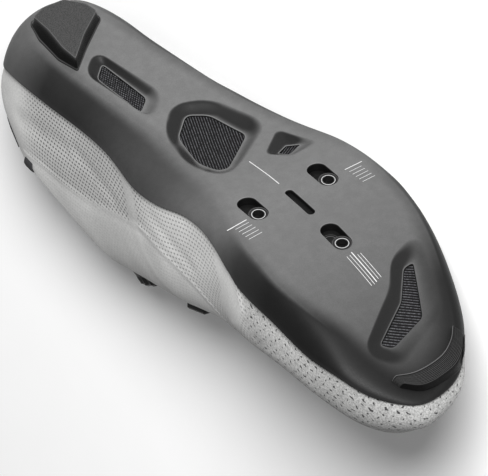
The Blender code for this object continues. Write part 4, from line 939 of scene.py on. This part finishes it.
def make_tongue(material):
    """Padded tongue under the throat: crowned between its edges, which roll over to its under side."""
    angles = station_angles(1.6 * MM)
    base, other = lined_rim(angles), lined_rim(2 * math.pi - angles)
    top = np.ones((len(angles), 1))
    ridge = arch_points(base, -1, top, angles)
    share = np.linspace(0.60, 1.0, 29)[None, :]
    left = arch_points(base, -1, share, angles)
    right = arch_points(other, 1, share, angles)
    to_ridge = ridge - arch_points(other, 1, top, angles)
    right = right + to_ridge * smoothstep(0.45, 1.0, share)[..., None]
    arch = np.concatenate([left, right[:, -2::-1]], 1)
    normal = upward(grid_normals(arch), arch)
    along = arch[..., 1] / SOLE_LENGTH
    keep = (along[:, 28] > 0.185) & (along[:, 28] < 0.72)
    arch, normal = arch[keep], normal[keep]
    rows, columns = arch.shape[:2]
    across = np.linspace(-1, 1, columns)[None, :]
    down = np.linspace(0, 1, rows)[:, None]
    edge = np.sqrt(np.clip(1 - np.abs(across)**6, 0, 1))
    edge = edge * np.sqrt(np.clip(1 - np.abs(2 * down - 1)**24, 0, 1))
    top_offset = UPPER_WALL + CLEARANCE + 0.5 * TONGUE_THICKNESS
    half = 0.5 * TONGUE_THICKNESS * edge
    channels = 0.25 * MM * np.cos(across * 3.0 * math.pi) * edge
    upper_face = arch - normal * (top_offset - half - np.minimum(channels, 0.0))[..., None]
    lower_face = arch - normal * (top_offset + half)[..., None]
    loop = np.concatenate([upper_face, lower_face[:, -2:0:-1]], 1)
    faces = grid_faces(rows, loop.shape[1], wrap=True)
    width = loop.shape[1]
    for r in (0, rows - 1):
        for c in range(columns - 1):
            below = [(r * width + (width - k) % width) for k in (c, c + 1)]
            faces.append([r * width + c, r * width + c + 1, below[1], below[0]])
    faces = [face for face in faces if len(set(face)) == 4]
    piece = shoe_object("padded_tongue", loop.reshape(-1, 3), faces, material, smooth=60)
    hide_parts("tongue")
    return piece


# Loop of webbing at the back of the collar: middle across and in height, reach out, half height, ends along,
# all in millimetres
TAB_MIDDLE = (-38.2, 76.2)
TAB_REACH = 4.6
TAB_HALF = 4.2
TAB_ENDS = (16.4, 22.4)
TAB_THICKNESS = 1.1


def make_pull_tab(material):
    """Webbing folded into a loop that stands out from the knit, with a groove along each edge."""
    turns = np.linspace(0, math.pi, 25)[:, None]
    place = np.linspace(-1, 1, 17)[None, :]
    y = TAB_ENDS[0] + (TAB_ENDS[1] - TAB_ENDS[0]) * (place + 1) / 2 + 0.0 * turns
    soft = np.sqrt(np.clip(1 - np.abs(place)**8, 0, 1))
    groove = 0.12 * np.exp(-((np.abs(place) - 0.72) / 0.06) ** 2)
    layers = []
    for side in (0.5, -0.5):
        grow = side * TAB_THICKNESS * soft - (groove if side > 0 else 0.0)
        x = TAB_MIDDLE[0] - (TAB_REACH + grow) * np.sin(turns)
        z = TAB_MIDDLE[1] + (TAB_HALF + grow) * np.cos(turns)
        layers.append(np.stack([x, y, z], -1) * MM)
    loop = np.concatenate([layers[0], layers[1][:, -2:0:-1]], 1)
    faces = grid_faces(*loop.shape[:2], wrap=True)
    piece = shoe_object("tab_loop", loop.reshape(-1, 3), faces, material, smooth=50)
    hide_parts("pull_tab")
    return piece


def make_printed_lines(material):
    """White alignment lines, a hair proud of the sole."""
    patch = Patchwork()
    lines = list(PRINTED_LINES)
    for (x0, y0, x1, y1, width), across, along, count in PRINTED_LADDERS:
        for rung in range(count):
            dx, dy = rung * across, rung * along
            lines.append((x0 + dx, y0 + dy, x1 + dx, y1 + dy, width))
    for x0, y0, x1, y1, width in lines:
        start, end = np.array([x0, y0]) * MM, np.array([x1, y1]) * MM
        forward = (end - start) / np.linalg.norm(end - start)
        sideways = np.array([-forward[1], forward[0]]) * width * MM / 2
        steps = max(2, int(np.linalg.norm(end - start) / (0.8 * MM)))
        middle = start + (end - start) * np.linspace(0, 1, steps + 1)[:, None]
        places = ((-1, 0.1), (-1, -0.05), (1, -0.05), (1, 0.1))
        corners = [on_sole(middle + sideways * side, depth) for side, depth in places]
        caps = [[0, 1, 2, 3], [4 * steps + corner for corner in range(4)]]
        faces = grid_faces(steps + 1, 4, wrap=True) + caps
        patch.add(np.stack(corners, 1), faces)
    return patch.finish("printed_lines", material, 30)


class Shading:
    """Small helper that builds one procedural material."""

    def __init__(self, name):
        self.material = bpy.data.materials.new(name)
        self.material.use_nodes = True
        self.tree = self.material.node_tree
        self.shader = self.tree.nodes["Principled BSDF"]

    def node(self, kind, **settings):
        item = self.tree.nodes.new(kind)
        for key, value in settings.items():
            setattr(item, key, value)
        return item

    def plug(self, socket, value):
        if isinstance(value, bpy.types.NodeSocket):
            self.tree.links.new(value, socket)
        elif value is not None:
            socket.default_value = value

    def math(self, operation, a, b=None, c=None):
        item = self.node("ShaderNodeMath", operation=operation)
        for socket, value in zip(item.inputs, (a, b, c)):
            self.plug(socket, value)
        return item.outputs[0]

    def ramp(self, value, low, high, start=0.0, end=1.0):
        """Smooth step of a value from low to high."""
        item = self.node("ShaderNodeMapRange", interpolation_type="SMOOTHSTEP")
        for socket, entry in zip(item.inputs, (value, low, high, start, end)):
            self.plug(socket, entry)
        return item.outputs[0]

    def attribute(self, name, output="Fac"):
        return self.node("ShaderNodeAttribute", attribute_name=name).outputs[output]

    def place(self):
        """Position in the shoe's own frame, in millimetres."""
        item = self.node("ShaderNodeMapping", vector_type="TEXTURE")
        item.inputs["Location"].default_value = LAID.translation
        item.inputs["Rotation"].default_value = LAID.to_3x3().to_euler()
        item.inputs["Scale"].default_value = (MM, MM, MM)
        self.tree.links.new(self.node("ShaderNodeTexCoord").outputs["Object"], item.inputs["Vector"])
        return item.outputs["Vector"]

    def parts(self, vector):
        item = self.node("ShaderNodeSeparateXYZ")
        self.plug(item.inputs[0], vector)
        return item.outputs[0], item.outputs[1], item.outputs[2]

    def together(self, x, y, z):
        item = self.node("ShaderNodeCombineXYZ")
        for socket, value in zip(item.inputs, (x, y, z)):
            self.plug(socket, value)
        return item.outputs[0]

    def noise(self, vector, scale, detail=3.0, roughness=0.5):
        item = self.node("ShaderNodeTexNoise")
        self.plug(item.inputs["Vector"], vector)
        item.inputs["Scale"].default_value = scale
        item.inputs["Detail"].default_value = detail
        item.inputs["Roughness"].default_value = roughness
        return item.outputs["Fac"]

    def mix(self, share, first, second):
        item = self.node("ShaderNodeMix", data_type="RGBA")
        self.plug(item.inputs[0], share)
        for socket, value in ((item.inputs[6], first), (item.inputs[7], second)):
            self.plug(socket, (*value, 1.0) if isinstance(value, tuple) else value)
        return item.outputs[2]

    def grain(self, height, distance, strength=1.0, normal=None):
        """Bump from a height from 0 to 1, with its depth in millimetres."""
        item = self.node("ShaderNodeBump")
        item.inputs["Strength"].default_value = strength
        item.inputs["Distance"].default_value = distance * MM
        self.plug(item.inputs["Height"], height)
        if normal is not None:
            self.plug(item.inputs["Normal"], normal)
        return item.outputs["Normal"]

    def surface(self, colour, roughness, normal=None, **settings):
        self.plug(self.shader.inputs["Base Color"], (*colour, 1.0) if isinstance(colour, tuple) else colour)
        self.plug(self.shader.inputs["Roughness"], roughness)
        if normal is not None:
            self.plug(self.shader.inputs["Normal"], normal)
        for key, value in settings.items():
            self.shader.inputs[key].default_value = value
        return self.material


def composite_material():
    """Satin grey composite whose lightness follows the sole's painted tone: painted shade darkening the
    recesses, painted highlights round the inserts, on the slot edges and along the rim lip.
    """
    s = Shading("composite")
    place = s.place()
    tone, recess, rim = s.attribute("tone"), s.attribute("recess"), s.attribute("rim")
    mottle = s.noise(place, 0.22, 5.0, 0.65)
    speck = s.noise(place, 2.2, 3.0, 0.6)
    light = s.math("MULTIPLY", tone, s.ramp(mottle, 0.30, 0.70, 0.96, 1.08))
    light = s.math("MULTIPLY", light, s.ramp(speck, 0.30, 0.70, 0.92, 1.08))
    # Painted highlight along the rim lip
    light = s.math("ADD", light, s.math("MULTIPLY", rim, 0.006))
    colour = s.together(light, light, light)
    # Painted highlight on the frames round the inserts and on the slot edges
    colour = s.mix(s.ramp(recess, -1.0, 0.0, 1.0, 0.0), colour, grey(0.20))
    # Painted shade on the recess and slot walls, going to black at their deepest
    colour = s.mix(s.ramp(recess, 0.0, 1.0, 0.0, 0.96), colour, grey(0.006))
    colour = s.mix(s.ramp(recess, 1.2, 1.8), colour, grey(0.003))
    roughness = s.ramp(speck, 0.3, 0.7, 0.46, 0.58)
    return s.surface(colour, roughness, s.grain(speck, 0.03), **{"Specular IOR Level": 0.13})


def hole_mask(s, u, v, pitch_u, pitch_v, radius):
    """Staggered round holes on a surface measured in millimetres: 1 in a hole, 0 between them."""
    row = s.math("DIVIDE", v, pitch_v)
    stagger = s.math("MULTIPLY", s.math("MODULO", s.math("FLOOR", row), 2.0), 0.5)
    du = s.math("SUBTRACT", s.math("FRACT", s.math("ADD", s.math("DIVIDE", u, pitch_u), stagger)), 0.5)
    dv = s.math("SUBTRACT", s.math("FRACT", row), 0.5)
    du, dv = s.math("MULTIPLY", du, pitch_u), s.math("MULTIPLY", dv, pitch_v)
    distance = s.math("SQRT", s.math("ADD", s.math("MULTIPLY", du, du), s.math("MULTIPLY", dv, dv)))
    return s.ramp(distance, radius * 0.75, radius * 1.2, 1.0, 0.0)


def knit_material():
    """Grey knit: fine dark dots on the midfoot, larger ones over the toes, smooth at heel and collar."""
    s = Shading("knit")
    place = s.place()
    u, v = s.attribute("u"), s.attribute("v")
    wander = s.noise(place, 0.45, 1.0)
    loose_u = s.math("ADD", u, s.ramp(wander, 0.3, 0.7, -0.7, 0.7))
    loose_v = s.math("ADD", v, s.ramp(s.noise(place, 0.35, 1.0), 0.3, 0.7, -0.6, 0.6))
    small = s.math("MULTIPLY", hole_mask(s, u, v, 2.05, 2.50, 0.56), s.attribute("small"))
    large = s.math("MULTIPLY", hole_mask(s, loose_u, loose_v, 4.6, 3.1, 0.56), s.attribute("large"))
    cloudy = s.noise(place, 0.05, 2.0)
    speck = s.noise(place, 1.2, 3.0, 0.75)
    light = s.math("ADD", s.math("MULTIPLY", s.attribute("tone"), 0.53), 0.052)
    light = s.math("MULTIPLY", light, s.ramp(cloudy, 0.3, 0.7, 0.94, 1.06))
    spread = s.math("ADD", s.math("MULTIPLY", s.attribute("large"), 0.20), 0.08)
    flecks = s.math("MULTIPLY", s.ramp(speck, 0.38, 0.62, -1.0, 1.0), spread)
    light = s.math("MULTIPLY", light, s.math("ADD", 1.0, flecks))
    colour = s.together(light, light, s.math("MULTIPLY", light, 0.985))
    colour = s.mix(s.math("MULTIPLY", small, 0.88), colour, (0.050, 0.050, 0.052))
    colour = s.mix(s.math("MULTIPLY", large, 0.90), colour, (0.012, 0.012, 0.013))
    colour = s.mix(s.ramp(s.attribute("lining"), 0.4, 0.8), colour, (0.022, 0.022, 0.023))
    threads = s.grain(speck, 0.10, 0.5)
    hole = s.math("MAXIMUM", small, large)
    dents = s.grain(s.math("SUBTRACT", 1.0, hole), 0.30, 0.6, threads)
    finish = {"Specular IOR Level": 0.15, "Sheen Weight": 0.08, "Sheen Roughness": 0.5}
    return s.surface(colour, 0.9, dents, **finish)


def mesh_material(name, turn, pitch, dotted):
    """Black ventilation insert with a painted highlight: lighter ribs at an angle from the X axis, or rows of
    light dots, on its raised parts.
    """
    s = Shading(name)
    place = s.place()
    x, y, z = s.parts(place)
    across = s.math("ADD", s.math("MULTIPLY", x, -math.sin(turn)), s.math("MULTIPLY", y, math.cos(turn)))
    beside = s.math("ADD", s.math("MULTIPLY", x, math.cos(turn)), s.math("MULTIPLY", y, math.sin(turn)))
    if dotted:
        height = hole_mask(s, beside, across, pitch, pitch * 0.87, pitch * 0.34)
    else:
        wave = s.math("SINE", s.math("MULTIPLY", across, 2 * math.pi / pitch))
        height = s.ramp(wave, 0.0, 0.9)
    speck = s.noise(place, 1.4, 3.0)
    # Painted highlight: the raised ribs or dots are coloured lighter than the black between them
    ribs = s.mix(s.ramp(speck, 0.35, 0.65), (0.022, 0.022, 0.024), (0.075, 0.075, 0.080))
    colour = s.mix(height, grey(0.003), ribs)
    return s.surface(colour, 0.6, s.grain(height, 0.4, 0.9), **{"Specular IOR Level": 0.08})


def grey(value):
    return (value, value, value)


def rubber_material(name, side, edge, tread):
    """Dark rubber with a fine grain on the tread: its sides take the side colour, which is painted shade
    where it is darker than the tread, and its edges the edge colour as a painted highlight.
    """
    s = Shading(name)
    place = s.place()
    grain = s.noise(place, 2.4, 4.0, 0.7)
    on_tread = s.attribute("tread")
    darker, lighter = (tuple(value * factor for value in tread) for factor in (0.55, 1.5))
    speckled = s.mix(s.ramp(grain, 0.38, 0.62), darker, lighter)
    colour = s.mix(on_tread, side, speckled)
    # Painted highlight along the edges
    colour = s.mix(s.math("MINIMUM", s.attribute("edge"), 1.0), colour, edge)
    normal = s.grain(grain, 0.12, 0.7)
    rough = s.ramp(on_tread, 0.0, 1.0, 0.38, 0.72)
    return s.surface(colour, rough, normal, **{"Specular IOR Level": 0.08})


def ring_highlight_material(name, centre, rings, plain, light):
    """Black metal with painted highlights, thin bright rings about a bolt at its edges: rings are inner and
    outer radius in millimetres.
    """
    s = Shading(name)
    place = s.place()
    x, y, z = s.parts(place)
    dx, dy = s.math("SUBTRACT", x, centre[0]), s.math("SUBTRACT", y, centre[1])
    radius = s.math("SQRT", s.math("ADD", s.math("MULTIPLY", dx, dx), s.math("MULTIPLY", dy, dy)))
    grain = s.noise(place, 3.0, 3.0)
    ring = 0.0
    for inner, outer, strength in rings:
        outwards = s.ramp(radius, inner - 0.08, inner + 0.08)
        band = s.math("MULTIPLY", outwards, s.ramp(radius, outer - 0.08, outer + 0.08, 1.0, 0.0))
        ring = s.math("MAXIMUM", ring, s.math("MULTIPLY", band, strength))
    # Painted highlight rings over the plain black
    colour = s.mix(ring, s.mix(grain, plain, tuple(value * 1.8 for value in plain)), light)
    return s.surface(colour, 0.45, s.grain(ring, 0.15), **{"Specular IOR Level": 0.2})


def fine_material(name, colour, roughness, scale, depth, spread=1.35, **settings):
    """Plain moulded or woven finish: a fine grain in its colour, its roughness and its relief."""
    s = Shading(name)
    place = s.place()
    grain = s.noise(place, scale, 3.0, 0.6)
    lighter = tuple(min(1.0, value * spread) for value in colour)
    shade = s.mix(grain, colour, lighter)
    rough = s.ramp(grain, 0.3, 0.7, roughness * 0.9, min(1.0, roughness * 1.1))
    settings.setdefault("Specular IOR Level", 0.25)
    return s.surface(shade, rough, s.grain(grain, depth, 0.6), **settings)


def dress(name, material, bevel=0.0):
    """Material, and softened edges, for a node that stays as the solid has it."""
    node = nodes[name]
    node.data.materials.clear()
    node.data.materials.append(material)
    if bevel:
        soften = node.modifiers.new("soft_edges", "BEVEL")
        soften.width = bevel * MM
        soften.segments = 2
        soften.limit_method = "ANGLE"
        soften.angle_limit = math.radians(35)
    return node


# Camera that the photograph was taken from, in the shoe's frame: rows are its right, down and forward axes
VIEW_AXES = Matrix(((0.8258, 0.5636, 0.0208), (-0.4059, 0.5682, 0.7158), (0.3917, -0.5995, 0.698)))
VIEW_SHIFT = (-0.0723, -0.1151, 3.0405)
VIEW_LENS = 512.4


def add_camera():
    data = bpy.data.cameras.new("photo_camera")
    data.lens = VIEW_LENS
    data.sensor_width = 36.0
    data.clip_end = 50.0
    camera = bpy.data.objects.new("photo_camera", data)
    bpy.context.scene.collection.objects.link(camera)
    spot = LAID @ (VIEW_AXES.inverted() @ -Vector(VIEW_SHIFT))
    right, down, forward = (LAID.to_3x3() @ row for row in VIEW_AXES)
    turn = Matrix((right, -down, -forward)).transposed().to_4x4()
    camera.matrix_world = Matrix.Translation(spot) @ turn.to_quaternion().to_matrix().to_4x4()
    bpy.context.scene.camera = camera


def add_light(name, spot, aim, size, power):
    data = bpy.data.lights.new(name, "AREA")
    data.shape = "DISK"
    data.size = size
    data.energy = power
    light = bpy.data.objects.new(name, data)
    light.location = spot
    light.rotation_euler = (Vector(aim) - Vector(spot)).to_track_quat("-Z", "Y").to_euler()
    bpy.context.scene.collection.objects.link(light)


def add_floor():
    mesh = bpy.data.meshes.new("floor")
    half = 6.0
    corners = [(-half, -half, 0), (half, -half, 0), (half, half, 0), (-half, half, 0)]
    mesh.from_pydata(corners, [], [(0, 1, 2, 3)])
    s = Shading("floor_paper")
    coordinates = s.node("ShaderNodeTexCoord").outputs["Object"]
    fibre = s.noise(coordinates, 40.0, 2.0)
    colour = s.mix(fibre, grey(0.87), grey(0.89))
    mesh.materials.append(s.surface(colour, 0.9, **{"Specular IOR Level": 0.1}))
    floor = bpy.data.objects.new("floor", mesh)
    bpy.context.scene.collection.objects.link(floor)


add_camera()
composite = composite_material()
make_sole(composite)
plain_sole = cup_points(station_angles(1.2 * MM))
plain_tree = BVHTree.FromPolygons(plain_sole.reshape(-1, 3).tolist(), grid_faces(*plain_sole.shape[:2]))
make_printed_lines(fine_material("white_ink", grey(0.42), 0.5, 3.0, 0.01, 1.1))
# Heel pad: sides painted darker than the tread as shade, edges painted light as highlight
make_heel_pad(rubber_material("heel_rubber", grey(0.004), grey(0.075), grey(0.034)))
# Toe bumper: the edge colour is the painted highlight on its bead and rib crests
make_toe_bumper(rubber_material("bumper_rubber", grey(0.003), grey(0.10), grey(0.003)), plain_tree)
make_upper(knit_material())
make_tongue(fine_material("tongue_fabric", grey(0.10), 0.9, 2.2, 0.15, 2.2, **{"Sheen Weight": 0.2}))

black_gloss = fine_material("black_gloss", grey(0.016), 0.32, 1.2, 0.02)
black_satin = fine_material("black_satin", grey(0.014), 0.5, 2.5, 0.05)
cable_finish = fine_material("cable_finish", grey(0.03), 0.35, 4.0, 0.05)
lining = fine_material("lining_fabric", grey(0.03), 0.95, 2.5, 0.15, 1.8)
dark_patch = fine_material("patch_fabric", (0.03, 0.03, 0.032), 0.7, 2.5, 0.08)
dress("vent_insert_heel", mesh_material("insert_dots", 0.2, 1.15, True))
dress("vent_insert_middle", mesh_material("insert_ribs_middle", 1.92, 1.15, False))
dress("vent_insert_side", mesh_material("insert_ribs_side", 2.60, 1.1, False))
dress("vent_insert_toe", mesh_material("insert_ribs_toe", 0.55, 1.25, False))
for name, (x, y) in zip(("inner", "outer", "front"), bolt_places()):
    spot = (x / MM, y / MM)
    # Painted highlights at the nut's inner and outer edges
    rings = ((2.72, 3.05, 1.0), (4.0, 4.2, 0.12))
    dress("cleat_nut_" + name, ring_highlight_material("nut_" + name, spot, rings, grey(0.005), grey(0.34)), 0.2)
    # Painted highlights round the backing plate behind each slot, brightest on the front one
    behind = (spot[0] - 1.0, spot[1] - 7.2)
    strength = 0.35 if name == "front" else 0.05
    rings = ((2.5, 2.75, strength), (3.5, 3.7, strength * 0.6))
    dress("backing_plate_" + name, ring_highlight_material("plate_" + name, behind, rings, grey(0.003), grey(0.2)))
dress("insole", lining)
dress("dial_base", black_satin, 0.3)
dress("dial_knob", black_gloss, 0.25)
dress("lace_cable", cable_finish)
for index in range(1, 6):
    dress("cable_guide_%d" % index, black_satin, 0.3)
dress("heel_patch", dark_patch, 0.25)
make_pull_tab(fine_material("tab_webbing", (0.018, 0.018, 0.019), 0.75, 3.0, 0.15, 2.0))

add_floor()
world = bpy.data.worlds.new("studio")
world.use_nodes = True
world.node_tree.nodes["Background"].inputs["Color"].default_value = (1.0, 1.0, 1.0, 1.0)
world.node_tree.nodes["Background"].inputs["Strength"].default_value = 0.25
bpy.context.scene.world = world
add_light("key", (-1.95, 0.88, 1.27), (0.0, 0.0, 0.04), 0.80, 124.0)
bpy.context.scene.view_settings.view_transform = "Standard"
